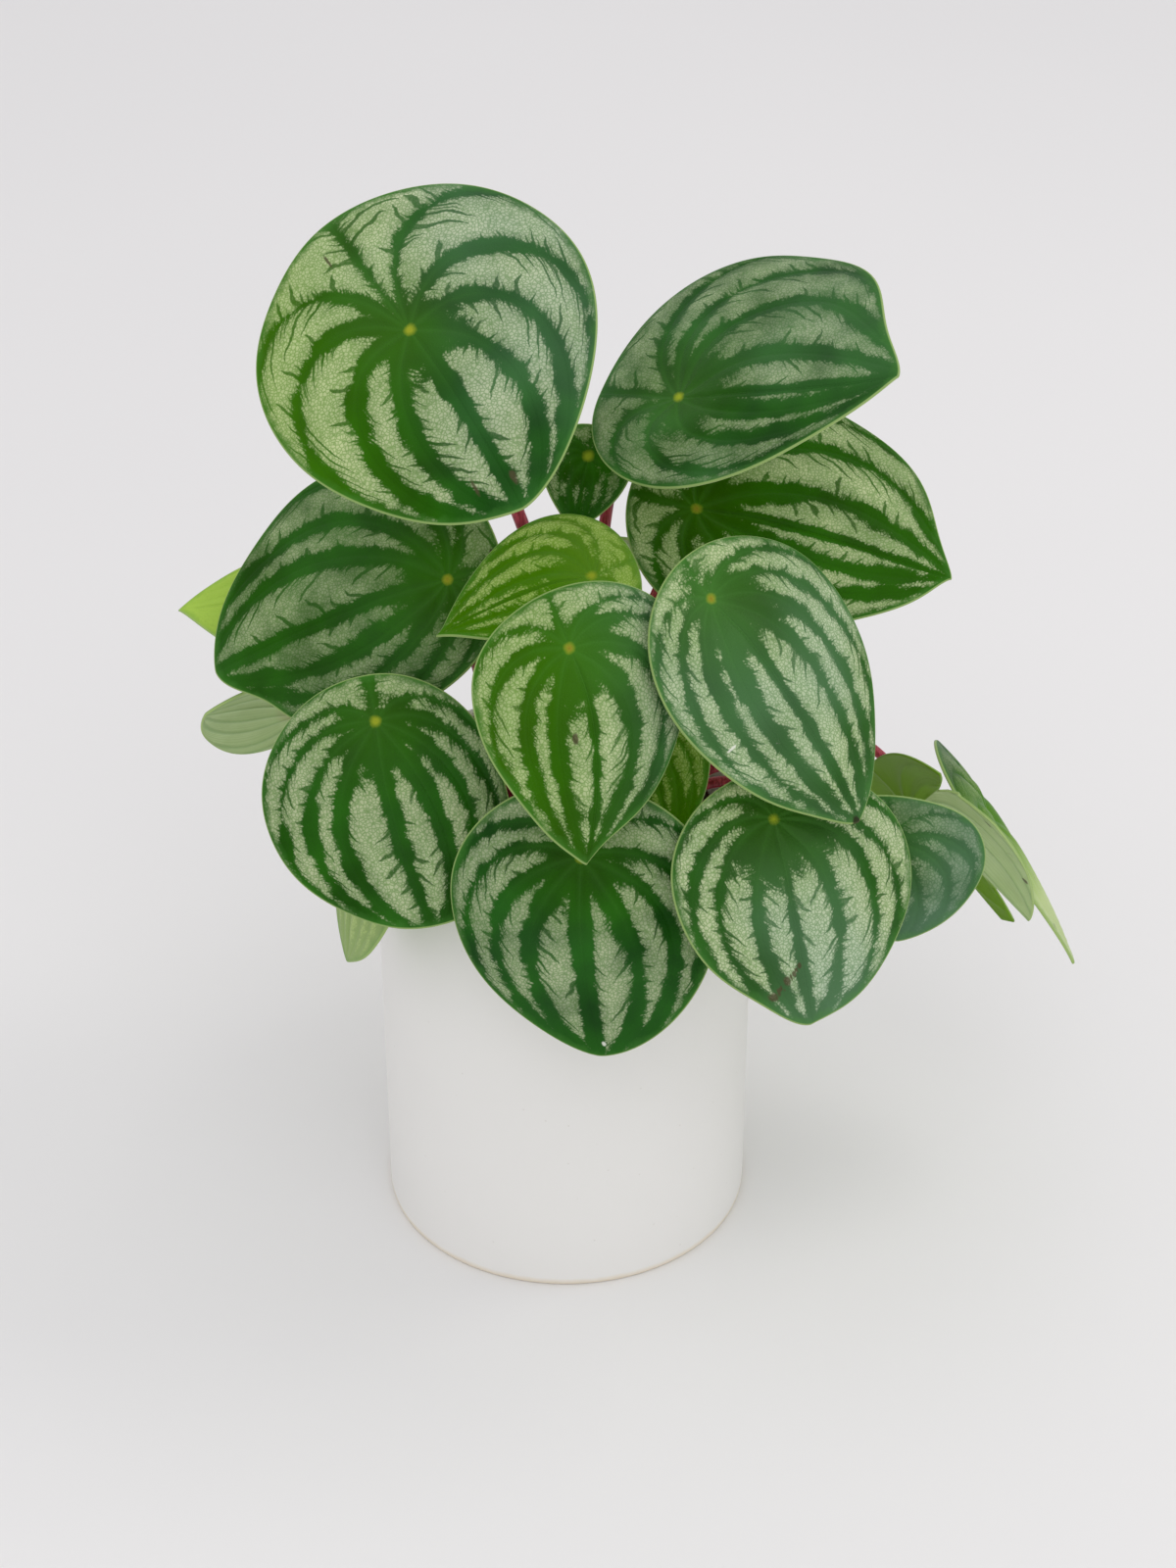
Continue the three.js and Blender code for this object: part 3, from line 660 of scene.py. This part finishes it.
def blade_mesh(name, leaf, number):
    """A fleshy blade: two curved faces a millimetre apart, a rounded rim, and sunken veins."""
    dice = np.random.default_rng(100 + number)
    turns, share, x, y, edge = blade_grid(leaf, dice)
    fields = vein_fields(leaf, turns, share, x, y, dice)
    top, under = blade_faces(*x.shape)
    mesh = new_mesh(name, blade_points(leaf, x, y, edge, fields), top + under)
    mesh.uv_layers.new(name="veins").data.foreach_set("uv", vein_map(fields).ravel())
    for look, (grid, at_hub) in blade_looks(leaf, number, turns, x, y, edge, fields).items():
        values = on_both_faces(grid, at_hub).astype(np.float32)
        mesh.attributes.new(look, "FLOAT", "POINT").data.foreach_set("value", values)
    offsets = on_both_faces(scar_offset(leaf, x, y), [NO_SCAR] * 3)
    mesh.attributes.new("scar", "FLOAT_VECTOR", "POINT").data.foreach_set("vector", offsets)
    mesh.polygons.foreach_set("material_index", np.array([0] * len(top) + [1] * len(under), np.int32))
    mesh.shade_smooth()
    return mesh


def leaf_sockets(tree, place, names):
    """What the mesh tells the material at a point, by name, with distances in millimetres."""
    at = SimpleNamespace(place=place)
    for name in names:
        setattr(at, name, add(tree, "Attribute", attribute_name=name).outputs["Fac"])
    at.scar = add(tree, "Attribute", attribute_name="scar").outputs["Vector"]
    veins = add(tree, "SeparateXYZ", (add(tree, "UVMap", uv_map="veins"),))
    at.number, at.along = veins.outputs[0], veins.outputs[1]
    nearest = add(tree, "Math", (at.number, 0.5), "PINGPONG")
    at.to_vein = add(tree, "Math", (nearest, at.gap), "MULTIPLY")
    at.blotch = patches(tree, place, 240, 3, 0.3, 0.7, -1, 1)
    return at


def silver_share(tree, at):
    """How silvery a point is: not at all on the dark bands and round the hub, and the silver's
    edge is feathered with short strokes that lean towards the tip, about 0.6 mm apart."""
    leaning = add(tree, "Math", (at.to_vein, -STROKE_LEAN, at.along), "MULTIPLY_ADD")
    stroke = add(tree, "Math", (leaning, STROKE_SPACING), "DIVIDE")
    slow = add(tree, "Math", (at.number, 3), "MULTIPLY")
    strokes = add(tree, "CombineXYZ", (stroke, slow, at.seed))
    feather = patches(tree, strokes, 1, 3, 0.25, 0.75, -0.7, 0.7, roughness=0.6)
    off_band = add(tree, "Math", (at.to_vein, at.band), "SUBTRACT")
    swell = patches(tree, at.place, 70, 2, 0.3, 0.7, -1.1, 1.1)
    off_band = add(tree, "Math", (off_band, swell), "ADD")
    off_star = add(tree, "Math", (at.start, 0.24), "MULTIPLY")
    inside = add(tree, "Math", (off_band, off_star, 1.2), "SMOOTH_MIN")
    inside = add(tree, "Math", (at.blotch, 0.7, inside), "MULTIPLY_ADD")
    gentle = add(tree, "MapRange", (inside, -0.6, 4, 0, 0.32))
    ragged = add(tree, "Math", (inside, feather), "ADD")
    ragged = add(tree, "Math", (at.wall, 1.6, ragged), "MULTIPLY_ADD")
    sharp = add(tree, "MapRange", (ragged, -0.2, 0.9, 0, 0.68), interpolation_type="SMOOTHSTEP")
    silver = add(tree, "Math", (sharp, gentle), "ADD")
    least = add(tree, "MapRange", (at.silver, 0.6, 1, 0.35, 0.85))
    patch = patches(tree, at.place, 85, 3, 0.38, 0.62, least, 1, roughness=0.6)
    return add(tree, "Math", (silver, patch), "MULTIPLY")


def cut_by_side_veins(tree, at, silver):
    """Dark side veins leave each band, lean towards the tip and taper out in the silver. Most are
    short, and a few reach the middle."""
    doubled = add(tree, "Math", (at.number, 2), "MULTIPLY")
    half = add(tree, "Math", (doubled,), "FLOOR")
    out = add(tree, "Math", (at.to_vein, at.band), "SUBTRACT")
    middle = add(tree, "Math", (at.gap, 0.5), "MULTIPLY")
    span = add(tree, "Math", (middle, at.band), "SUBTRACT")
    wobble = patches(tree, at.place, 110, 3, 0.25, 0.75, -2, 2)
    # Main side veins and finer ones: spacing, lean, width, least and greatest share of the way
    for spacing, lean, width, least, most in ((5.4, 0.8, 0.62, 1.6, 1.0), (2.3, 0.6, 0.36, 0.8, 0.5)):
        slanted = add(tree, "Math", (at.to_vein, -lean, at.along), "MULTIPLY_ADD")
        slanted = add(tree, "Math", (slanted, wobble), "ADD")
        shift = add(tree, "Math", (half, 0.37 * spacing, slanted), "MULTIPLY_ADD")
        phase = add(tree, "Math", (shift, spacing), "DIVIDE")
        centred = add(tree, "Math", (phase, 0.5), "PINGPONG")
        to_line = add(tree, "Math", (centred, spacing), "MULTIPLY")
        cell = add(tree, "Math", (phase,), "ROUND")
        key = add(tree, "CombineXYZ", (cell, half, at.seed))
        chance = add(tree, "TexWhiteNoise", {"Vector": key}, noise_dimensions="3D")
        share = add(tree, "MapRange", (chance, 0, 1, 0, most), interpolation_type="SMOOTHERSTEP")
        reach = add(tree, "Math", (share, span, least), "MULTIPLY_ADD")
        left_over = add(tree, "Math", (reach, out), "SUBTRACT")
        half_width = add(tree, "MapRange", (left_over, 0, 3.5, -0.25, width))
        depth = add(tree, "Math", (half_width, to_line), "SUBTRACT")
        line = add(tree, "MapRange", (depth, -0.25, 0.1, 1, 0.15))
        silver = add(tree, "Math", (silver, line), "MULTIPLY")
    return silver


def leaf_greens(tree, at, silver):
    """Deep green and silver, each in plain and young tones and under a painted greyish sheen that
    stands in for the glossy reflection of the bright room. The hub is yellower, and darker walls
    between cells, drawn at about 1 mm, crackle the silver."""
    wide = patches(tree, at.place, 60, 2, 0.3, 0.7)
    # Painted sheen: soft greyish patches, as strong as the dull value, stand in for the room's reflection
    painted_sheen_veil = patches(tree, at.place, 30, 1, 0.35, 0.65, 0.25, 1)
    painted_sheen_veil = add(tree, "Math", (painted_sheen_veil, at.dull), "MULTIPLY")
    warm = add(tree, "MapRange", (at.hub, 2, 26, 0.22, 0))
    fresh = add(tree, "Math", (at.fresh, warm), "ADD", use_clamp=True)
    grain = add(tree, "MapRange", (at.wall, 0.02, 0.2, 1, 0))
    # Each row: the first and the second tone, the painted sheen tint, and the young tone
    deep, pale, dusk = (
        paint(tree, first, (wide, second), (painted_sheen_veil, sheen_tint), (fresh, young))
        for first, second, sheen_tint, young in [
            (0x083500, 0x1B5A00, 0x507355, 0x487C00),
            (0xA6B68E, 0xC4CBA4, 0xABBDA9, 0xB6CE76),
            (0x7A965F, 0x8CA470, 0x7B967C, 0x83A83E),
        ]
    )
    striped = paint(tree, deep, (silver, paint(tree, pale, (grain, dusk))))
    plain = add(tree, "MapRange", (at.fresh, 1, 1.9))
    # Leaves without stripes take the painted sheen too, as a paler, greyer green
    return paint(tree, striped, (plain, paint(tree, 0xAACC54, (at.dull, 0xB6C88C))))


def scars(tree, at):
    """Amount and colour of the small scars: brown, black or white."""
    kind = add(tree, "SeparateXYZ", (at.scar,)).outputs[2]
    flat = add(tree, "VectorMath", (at.scar, (1, 1, 0)), "MULTIPLY")
    size = add(tree, "VectorMath", (flat,), "LENGTH").outputs["Value"]
    size = add(tree, "Math", (at.blotch, 0.5, size), "MULTIPLY_ADD")
    amount = add(tree, "MapRange", (size, 0.7, 1.2, 0.85, 0))
    black = add(tree, "MapRange", (kind, 0.5, 0.6))
    white = add(tree, "MapRange", (kind, 1.5, 1.6))
    return amount, paint(tree, 0x4C4630, (black, 0x2A2019), (white, 0xDDE0D2))


def leaf_marks(tree, at, margin, colour):
    """A faint lighter thread along each main vein, the margin, the spot on the hub, and the scars."""
    thread = add(tree, "MapRange", (at.to_vein, 0.2, 1.3, 0.08, 0))
    near_hub = add(tree, "MapRange", (at.hub, 6, 30, 1, 0))
    thread = add(tree, "Math", (thread, near_hub), "MULTIPLY")
    seam = add(tree, "MapRange", (margin, 0.3, 2.2, 0.3, 0))
    rim = add(tree, "MapRange", (at.edge, 0.2, 0.5, 0.8, 0))
    spot_size = add(tree, "Math", (at.blotch, 0.4, at.hub), "MULTIPLY_ADD")
    spot = add(tree, "MapRange", (spot_size, 0.5, 2.0, 0.95, 0))
    pit = add(tree, "MapRange", (spot_size, 0.2, 1.5, 0.65, 0))
    pit = add(tree, "Math", (pit, at.eye), "MULTIPLY")
    marks = ((thread, 0x5B9A45), (seam, 0x4F8A3A), (rim, 0x9DB670), (spot, 0x9CAA2A), (pit, 0x7A4F22))
    return paint(tree, colour, *marks, scars(tree, at))


def striped_leaf():
    """Waxy upper face of a living leaf, half glossy: dark green along the veins, and silver between
    them, where air under the skin scatters the light. A pale line runs round the rim."""
    material, tree, place = new_material("waxy striped leaf, upper face", 0.36, 1.4, 0.07)
    names = ("gap", "band", "start", "hub", "edge", "fresh", "silver", "dull", "eye", "seed")
    at = leaf_sockets(tree, place, names)
    at.wall = add(tree, "TexVoronoi", {"Vector": place, "Scale": CELL_SCALE}, feature="DISTANCE_TO_EDGE")
    silver = cut_by_side_veins(tree, at, silver_share(tree, at))
    margin = add(tree, "Math", (at.blotch, 0.9, at.edge), "MULTIPLY_ADD")
    outward = add(tree, "MapRange", (margin, 0.3, 2.6, 0.12, 1))
    for share in (outward, at.silver):
        silver = add(tree, "Math", (silver, share), "MULTIPLY")
    colour = leaf_marks(tree, at, margin, leaf_greens(tree, at, silver))
    # Relief in millimetres: swollen cells, grooves along the veins, and raised silver
    swelling = add(tree, "MapRange", (at.wall, 0, 0.3, 0, 0.04))
    groove = add(tree, "MapRange", (at.to_vein, 0, 0.9, -0.12, 0), interpolation_type="SMOOTHSTEP")
    relief = add(tree, "Math", (swelling, groove), "ADD")
    relief = add(tree, "Math", (silver, 0.08, relief), "MULTIPLY_ADD")
    return finish(material, {"Base Color": colour}, relief, MM)


def pale_underside():
    """Underside of a living leaf: matt pale green, with its veins raised and a little greener."""
    material, tree, place = new_material("pale leaf underside", 0.48, specular=0.15)
    at = leaf_sockets(tree, place, ("gap", "hub", "edge", "fresh", "olive"))
    main_vein = add(tree, "MapRange", (at.to_vein, 0.25, 1.0, 0.55, 0))
    # Fine veins run between the main ones, seven to a gap
    fine = add(tree, "Math", (at.number, 7), "MULTIPLY")
    fine = add(tree, "Math", (fine, 0.5), "PINGPONG")
    fine_vein = add(tree, "MapRange", (fine, 0.02, 0.25, 0.25, 0))
    wide = patches(tree, place, 90, 4, 0.3, 0.7)
    fresh = add(tree, "Math", (at.fresh, 1), "MINIMUM")
    hub_flush = add(tree, "MapRange", (at.hub, 1.5, 9, 0.7, 0))
    rim = add(tree, "MapRange", (at.edge, 0.25, 0.7, 0.8, 0))
    # Painted shade: the lobe of a torn leaf that hangs in shadow is painted a darker, deeper green
    olive = add(tree, "Math", (at.olive, 0.93), "MULTIPLY")
    veins = ((fresh, 0x97C13F), (fine_vein, 0x8AAB70), (main_vein, 0x84A86A))
    marks = ((hub_flush, 0x96785A), (rim, 0xA5BD76), (olive, 0x5E8804))
    colour = paint(tree, 0xAEC48E, (wide, 0xBED2A0), *veins, *marks, scars(tree, at))
    relief = add(tree, "Math", (main_vein, 0.3), "MULTIPLY")
    relief = add(tree, "Math", (fine_vein, 0.1, relief), "MULTIPLY_ADD")
    return finish(material, {"Base Color": colour}, relief, MM)


def make_blades():
    upper = striped_leaf()
    lower = pale_underside()
    for index, leaf in enumerate(LEAVES):
        name = f"{index + 1:02d}"
        mesh = blade_mesh(f"leaf_{name}", leaf, index)
        mesh.materials.append(upper)
        mesh.materials.append(lower)
        settle(new_object(f"leaf_{name}", mesh), f"blade_{name}")


# Pieces that follow a rule, made with Geometry Nodes


def new_tree(name, **inputs):
    """A Geometry Nodes tree with these inputs, and with a material, besides the geometry."""
    tree = bpy.data.node_groups.new(name, "GeometryNodeTree")
    tree.interface.new_socket("Geometry", in_out="OUTPUT", socket_type="NodeSocketGeometry")
    for label, kind in {"Geometry": "Geometry", **inputs, "Material": "Material"}.items():
        tree.interface.new_socket(label, in_out="INPUT", socket_type="NodeSocket" + kind)
    return tree, tree.nodes.new("NodeGroupInput").outputs


def close_tree(tree, inputs, geometry):
    """End a tree in real mesh with the material that it was given."""
    solid = add(tree, "GeometryNodeRealizeInstances", {"Geometry": geometry})
    dressed = add(tree, "GeometryNodeSetMaterial", {"Geometry": solid, "Material": inputs["Material"]})
    add(tree, "NodeGroupOutput", (dressed,))
    return tree


def grow(name, mesh, tree, **values):
    """Run the tree on the mesh with these input values, and keep the result as a plain mesh."""
    piece = new_object(name, mesh)
    modifier = piece.modifiers.new(tree.name, "NODES")
    modifier.node_group = tree
    for socket in tree.interface.items_tree:
        if socket.in_out == "INPUT" and socket.name in values:
            modifier[socket.identifier] = values[socket.name]
    evaluated = piece.evaluated_get(bpy.context.evaluated_depsgraph_get())
    result = bpy.data.meshes.new_from_object(evaluated)
    piece.modifiers.clear()
    piece.data = result
    return piece


def stalk_tree():
    """A tapering fleshy rod along a line, with a widened foot and a flare under the blade."""
    tree, inputs = new_tree("leaf stalk", Radius="Float", Sides="Int")
    along = add(tree, "GeometryNodeInputNamedAttribute", {"Name": "along"}, data_type="FLOAT")
    taper = add(tree, "FloatCurve", {"Value": along})
    curve = taper.mapping.curves[0]
    curve.points[0].location = (0, 1.0)
    curve.points[1].location = (1, 1.0)
    for place, width in ((0.06, 0.9), (0.3, 0.84), (0.8, 0.76), (0.95, 0.78)):
        curve.points.new(place, width)
    taper.mapping.update()
    line = add(tree, "GeometryNodeMeshToCurve", {"Mesh": inputs["Geometry"]})
    size = {"Resolution": inputs["Sides"], "Radius": inputs["Radius"]}
    circle = add(tree, "GeometryNodeCurvePrimitiveCircle", size)
    swept = {"Curve": line, "Profile Curve": circle, "Scale": taper, "Fill Caps": True}
    rod = add(tree, "GeometryNodeCurveToMesh", swept)
    return close_tree(tree, inputs, add(tree, "GeometryNodeSetShadeSmooth", {"Geometry": rod}))


def red_stalk():
    """Fleshy stalk: dark wine red, glossy, with fine streaks, and paler towards the blade."""
    material, tree, place = new_material("fleshy red leaf stalk", 0.34)
    along = add(tree, "Attribute", attribute_name="along").outputs["Fac"]
    # Streaks about 0.5 mm wide and 7 mm long
    stretched = add(tree, "Mapping", {"Vector": place, "Scale": (1, 1, 0.08)})
    streaks = patches(tree, stretched, 1800, 2, 0.35, 0.65)
    upper = add(tree, "MapRange", (along, 0.88, 1.0, 0, 0.6))
    lower = add(tree, "MapRange", (along, 0.0, 0.12, 0.5, 0))
    speckles = add(tree, "TexVoronoi", {"Vector": place, "Scale": 900})
    speckles = add(tree, "MapRange", (speckles, 0.08, 0.2, 0.35, 0))
    layers = ((streaks, 0xB84252), (upper, 0x9A6A4A), (lower, 0x4A2A20), (speckles, 0xA4525A))
    return finish(material, {"Base Color": paint(tree, 0x7E1C2C, *layers)}, streaks, 0.05 * MM)


def make_stalks():
    material = red_stalk()
    tree = stalk_tree()
    for index, leaf in enumerate(LEAVES):
        name = f"{index + 1:02d}"
        path = stalk_path(leaf)
        mesh = new_mesh(f"stalk line {name}", path, edges=[(i, i + 1) for i in range(len(path) - 1)])
        along = np.linspace(0, 1, len(path)).astype(np.float32)
        mesh.attributes.new("along", "FLOAT", "POINT").data.foreach_set("value", along)
        values = {"Radius": leaf["stalk"] * MM, "Sides": STALK_SIDES, "Material": material}
        settle(grow(f"leaf_stalk_{name}", mesh, tree, **values), f"stalk_{name}")


def turning_tree():
    """A profile turned round the Z axis: each point of a grid takes its place from the profile."""
    tree, inputs = new_tree("turned pot", Sides="Int", Points="Int")
    columns = add(tree, "Math", (inputs["Sides"], 1), "ADD")
    size = {"Size X": 1, "Size Y": 1, "Vertices X": columns, "Vertices Y": inputs["Points"]}
    grid = add(tree, "GeometryNodeMeshGrid", size)
    position = add(tree, "GeometryNodeInputPosition")
    place = add(tree, "SeparateXYZ", (position,))
    last = add(tree, "Math", (inputs["Points"], 1), "SUBTRACT")
    row = add(tree, "Math", (place.outputs[1], 0.5), "ADD")
    row = add(tree, "Math", (row, last), "MULTIPLY")
    row = add(tree, "Math", (row,), "ROUND")
    sample = {"Geometry": inputs["Geometry"], "Value": position, "Index": row}
    point = add(tree, "GeometryNodeSampleIndex", sample, data_type="FLOAT_VECTOR")
    turn = add(tree, "Math", (place.outputs[0], 2 * math.pi), "MULTIPLY")
    moved = add(tree, "VectorRotate", {"Vector": point, "Angle": turn}, rotation_type="Z_AXIS")
    turned = add(tree, "GeometryNodeSetPosition", {"Geometry": grid, "Position": moved})
    merged = add(tree, "GeometryNodeMergeByDistance", {"Geometry": turned, "Distance": 0.01 * MM})
    return close_tree(tree, inputs, add(tree, "GeometryNodeSetShadeSmooth", {"Geometry": merged}))


def rounded(corners, steps=7):
    """A profile of (radius, height, rounding) corners with each rounding drawn as a curve."""
    line = []
    for index, (r, z, rounding) in enumerate(corners):
        corner = np.array([r, z], float)
        if not rounding:
            line.append(corner)
            continue
        before = np.array(corners[index - 1][:2], float) - corner
        after = np.array(corners[index + 1][:2], float) - corner
        start = corner + before / np.linalg.norm(before) * rounding
        end = corner + after / np.linalg.norm(after) * rounding
        for t in np.linspace(0, 1, steps):
            line.append((1 - t) ** 2 * start + 2 * t * (1 - t) * corner + t**2 * end)
    return line


def white_ceramic():
    """Slip-cast stoneware with a matt white glaze, wiped off round the foot, where the beige clay
    shows as a thin line."""
    material, tree, place = new_material("matt white glazed stoneware", 0.5, 1.5)
    height = add(tree, "SeparateXYZ", (place,)).outputs[2]
    shade = add(tree, "TexNoise", {"Vector": place, "Scale": 22, "Detail": 3})
    ragged = patches(tree, place, 160, 2, 0, 1, -0.5 * MM, 0.5 * MM)
    wiped = add(tree, "Math", (height, ragged), "ADD")
    foot = add(tree, "MapRange", (wiped, 1 * MM, 2.6 * MM, 0.85, 0))
    # Specks of iron of about 0.3 mm in the glaze, few and faint
    specks = add(tree, "TexVoronoi", {"Vector": place, "Scale": 160})
    specks = add(tree, "MapRange", (specks, 0.03, 0.06, 0.25, 0))
    colour = paint(tree, 0xE7E6E3, (shade, 0xECEBE8), (specks, 0xB9B2A6), (foot, 0xE0D5C0))
    rough = add(tree, "MapRange", (foot, 0, 1, 0.5, 0.85))
    skin = add(tree, "TexNoise", {"Vector": place, "Scale": 700, "Detail": 2})
    return finish(material, {"Base Color": colour, "Roughness": rough}, skin, 0.03 * MM)


def make_pot():
    inner = POT_RADIUS - POT_WALL
    lip = 0.45 * POT_WALL
    low, high = 0.35 * POT_HEIGHT, 0.7 * POT_HEIGHT
    line = rounded([
        (0, 0, 0), (POT_RADIUS / 2, 0, 0), (POT_RADIUS, 0, POT_EDGE), (POT_RADIUS, low, 0),
        (POT_RADIUS, high, 0), (POT_RADIUS, POT_HEIGHT, lip), (inner, POT_HEIGHT, lip),
        (inner, high, 0), (inner, POT_FLOOR, POT_WALL), (inner / 2, POT_FLOOR, 0), (0, POT_FLOOR, 0),
    ])
    mesh = new_mesh("pot profile", [(r, 0, z) for r, z in line])
    values = {"Sides": POT_SIDES, "Points": len(line), "Material": white_ceramic()}
    settle(grow("round_pot", mesh, turning_tree(), **values), "pot")


# Soil and crown


def lumps(x, y, dice, count, size, height):
    """Smooth random lumps over a field of points."""
    total = np.zeros_like(x)
    for _ in range(count):
        turn, far = dice.uniform(0, 2 * math.pi), CROWN_RADIUS * 2 * math.sqrt(dice.uniform())
        wide = size * dice.uniform(0.5, 1.5)
        distance = (x - far * math.cos(turn)) ** 2 + (y - far * math.sin(turn)) ** 2
        total += height * dice.uniform(-1, 1) * np.exp(-distance / wide**2)
    return total


def turned_points(line, sides):
    """Points of a line of radii and heights when it turns round the Z axis, ring by ring."""
    turns = np.linspace(0, 2 * math.pi, sides, endpoint=False)
    return [(r * math.cos(turn), r * math.sin(turn), z) for r, z in line for turn in turns]


def round_solid(name, profile, relief, sides):
    """A closed solid of revolution whose points are then moved by a relief function."""
    rings = turned_points(profile[1:-1], sides)
    points = np.array([(0, 0, profile[0][1]), *rings, (0, 0, profile[-1][1])], float)
    grid = closed(1 + np.arange(len(rings)).reshape(-1, sides))
    bottom = fan(np.zeros(sides, int), grid[0], True)
    top = fan(np.full(sides, len(rings) + 1), grid[-1])
    mesh = new_mesh(name, relief(points), [*bottom.tolist(), *quads(grid.T).tolist(), *top.tolist()])
    mesh.shade_smooth()
    return mesh


def dark_peat():
    """Moist peat-based potting soil: nearly black brown crumbs with paler fibres."""
    material, tree, place = new_material("moist peat potting soil", 0.9)
    coarse = patches(tree, place, 350, 6, 0.3, 0.7)
    return finish(material, {"Base Color": paint(tree, 0x1D140E, (coarse, 0x46342A))}, coarse, 0.8 * MM)


def crumb_material():
    """Loose crumbs: mostly bark and peat, and a few white grains of perlite."""
    material, tree, place = new_material("bark crumbs and perlite", 0.85)
    tone = add(tree, "Attribute", attribute_name="tone").outputs["Fac"]
    perlite = add(tree, "MapRange", (tone, 0.93, 0.935))
    shade = patches(tree, place, 1200, 3, 0.3, 0.7, 0.4, 0)
    layers = ((tone, 0x6A5038), (perlite, 0xD9D5CB), (shade, 0x17100B))
    return finish(material, {"Base Color": paint(tree, 0x1E150F, *layers)})


def crumb_tree():
    """Crumbs strewn over a surface, each with its own size, turn and tone."""
    tree, inputs = new_tree("soil crumbs", Density="Float", Size="Float", Seed="Int")
    spread = {"Mesh": inputs["Geometry"], "Density": inputs["Density"], "Seed": inputs["Seed"]}
    strewn = add(tree, "GeometryNodeDistributePointsOnFaces", spread)
    crumb = add(tree, "GeometryNodeMeshIcoSphere", {"Radius": inputs["Size"], "Subdivisions": 1})
    turns = {0: (0, 0, 0), 1: (6.28, 6.28, 6.28), "Seed": 3}
    turn = add(tree, "FunctionNodeRandomValue", turns, data_type="FLOAT_VECTOR")
    sizes = {0: (0.35, 0.3, 0.2), 1: (1.3, 0.9, 0.6), "Seed": 5}
    size = add(tree, "FunctionNodeRandomValue", sizes, data_type="FLOAT_VECTOR")
    tone = add(tree, "FunctionNodeRandomValue", {2: 0, 3: 1, "Seed": 7}, data_type="FLOAT")
    mark = {"Geometry": strewn, "Name": "tone", "Value": tone.outputs[1]}
    marked = add(tree, "GeometryNodeStoreNamedAttribute", mark, data_type="FLOAT", domain="POINT")
    copies = {"Points": marked, "Instance": crumb, "Rotation": turn, "Scale": size}
    return close_tree(tree, inputs, add(tree, "GeometryNodeInstanceOnPoints", copies))


def soil_height(radius):
    """The soil's smooth level: highest at the crown's edge and lower at the pot's wall."""
    outer = POT_RADIUS - POT_WALL
    return SOIL_LEVEL - SOIL_MOUND * ((radius - CROWN_RADIUS) / (outer - CROWN_RADIUS)) ** 2


def make_soil():
    dice = np.random.default_rng(7)
    low = SOIL_LEVEL - CROWN_DEPTH - SEAT_GAP
    base = POT_FLOOR + SEAT_GAP
    profile = [(0, base), (SOIL_OUTER - POT_WALL, base), (SOIL_OUTER, POT_FLOOR + POT_WALL + SEAT_GAP)]
    profile += [(r, soil_height(r)) for r in np.linspace(SOIL_OUTER, SOIL_INNER, SOIL_RINGS)]
    profile += [(SOIL_INNER - CROWN_DEPTH / 2, low), (0, low)]

    def relief(points):
        """Lumps on the top, away from the pot's wall."""
        x, y, z = points.T
        on_top = (z > SOIL_LEVEL - 2 * SOIL_MOUND) & (np.hypot(x, y) < SOIL_OUTER - 0.5)
        rough = lumps(x, y, dice, count=260, size=2.6, height=0.9)
        points[:, 2] = np.where(on_top, z + rough, z)
        return points

    mesh = round_solid("potting_soil", profile, relief, SOIL_SIDES)
    mesh.materials.append(dark_peat())
    settle(new_object("potting_soil", mesh), "soil")


def make_crumbs():
    """Loose crumbs on the soil, 1 mm clear of the crown and of the pot."""
    sides = 48
    lift = 0.3
    line = [(r, soil_height(r) + lift) for r in np.linspace(SOIL_INNER + 1, SOIL_OUTER - 1, 8)]
    points = turned_points(line, sides)
    grid = closed(np.arange(len(points)).reshape(-1, sides))
    surface = new_mesh("soil surface", points, quads(grid).tolist())
    values = {"Density": CRUMBS_PER_SQUARE_METRE, "Size": CRUMB_RADIUS * MM, "Seed": 11}
    crumbs = grow("soil_crumbs", surface, crumb_tree(), Material=crumb_material(), **values)
    settle(crumbs, None)


def fleshy_crown():
    """Short thick stem: brown-red flesh, rough with the dry brown scars of old stalks."""
    material, tree, place = new_material("fleshy plant crown", 0.6)
    patch = patches(tree, place, 160, 4, 0.35, 0.65)
    scales = add(tree, "TexVoronoi", {"Vector": place, "Scale": 260})
    dry = add(tree, "MapRange", (scales, 0.35, 0.7, 0, 0.6))
    colour = paint(tree, 0x4A2A20, (patch, 0x6E5A35), (dry, 0x2E1C12))
    return finish(material, {"Base Color": colour}, scales, 0.8 * MM, invert=True)


def make_crown():
    dice = np.random.default_rng(5)
    base = SOIL_LEVEL - CROWN_DEPTH
    profile = [(0, base), (CROWN_RADIUS - CROWN_DEPTH / 2, base), (CROWN_RADIUS, SOIL_LEVEL)]
    profile += [(r, SOIL_LEVEL + crown_surface(r)) for r in np.linspace(CROWN_RADIUS, 0, CROWN_RINGS)]

    def relief(points):
        """Lumps all over, and a collar round each stalk."""
        x, y, z = points.T
        rough = lumps(x, y, dice, count=160, size=3, height=0.9)
        for leaf in LEAVES:
            distance = np.hypot(x - leaf["root"][0], y - leaf["root"][1])
            rough += COLLAR_HEIGHT * np.exp(-(distance / (leaf["stalk"] * COLLAR_WIDTH)) ** 2)
        points[:, 2] = np.where(z > SOIL_LEVEL + 0.5, z + rough - 0.6, z)
        return points

    mesh = round_solid("plant_crown", profile, relief, CROWN_SIDES)
    mesh.materials.append(fleshy_crown())
    settle(new_object("plant_crown", mesh), "crown")


make_camera()
make_lights()
make_floor()
make_pot()
make_soil()
make_crumbs()
make_crown()
make_stalks()
make_blades()

bpy.context.scene.view_settings.view_transform = "Standard"
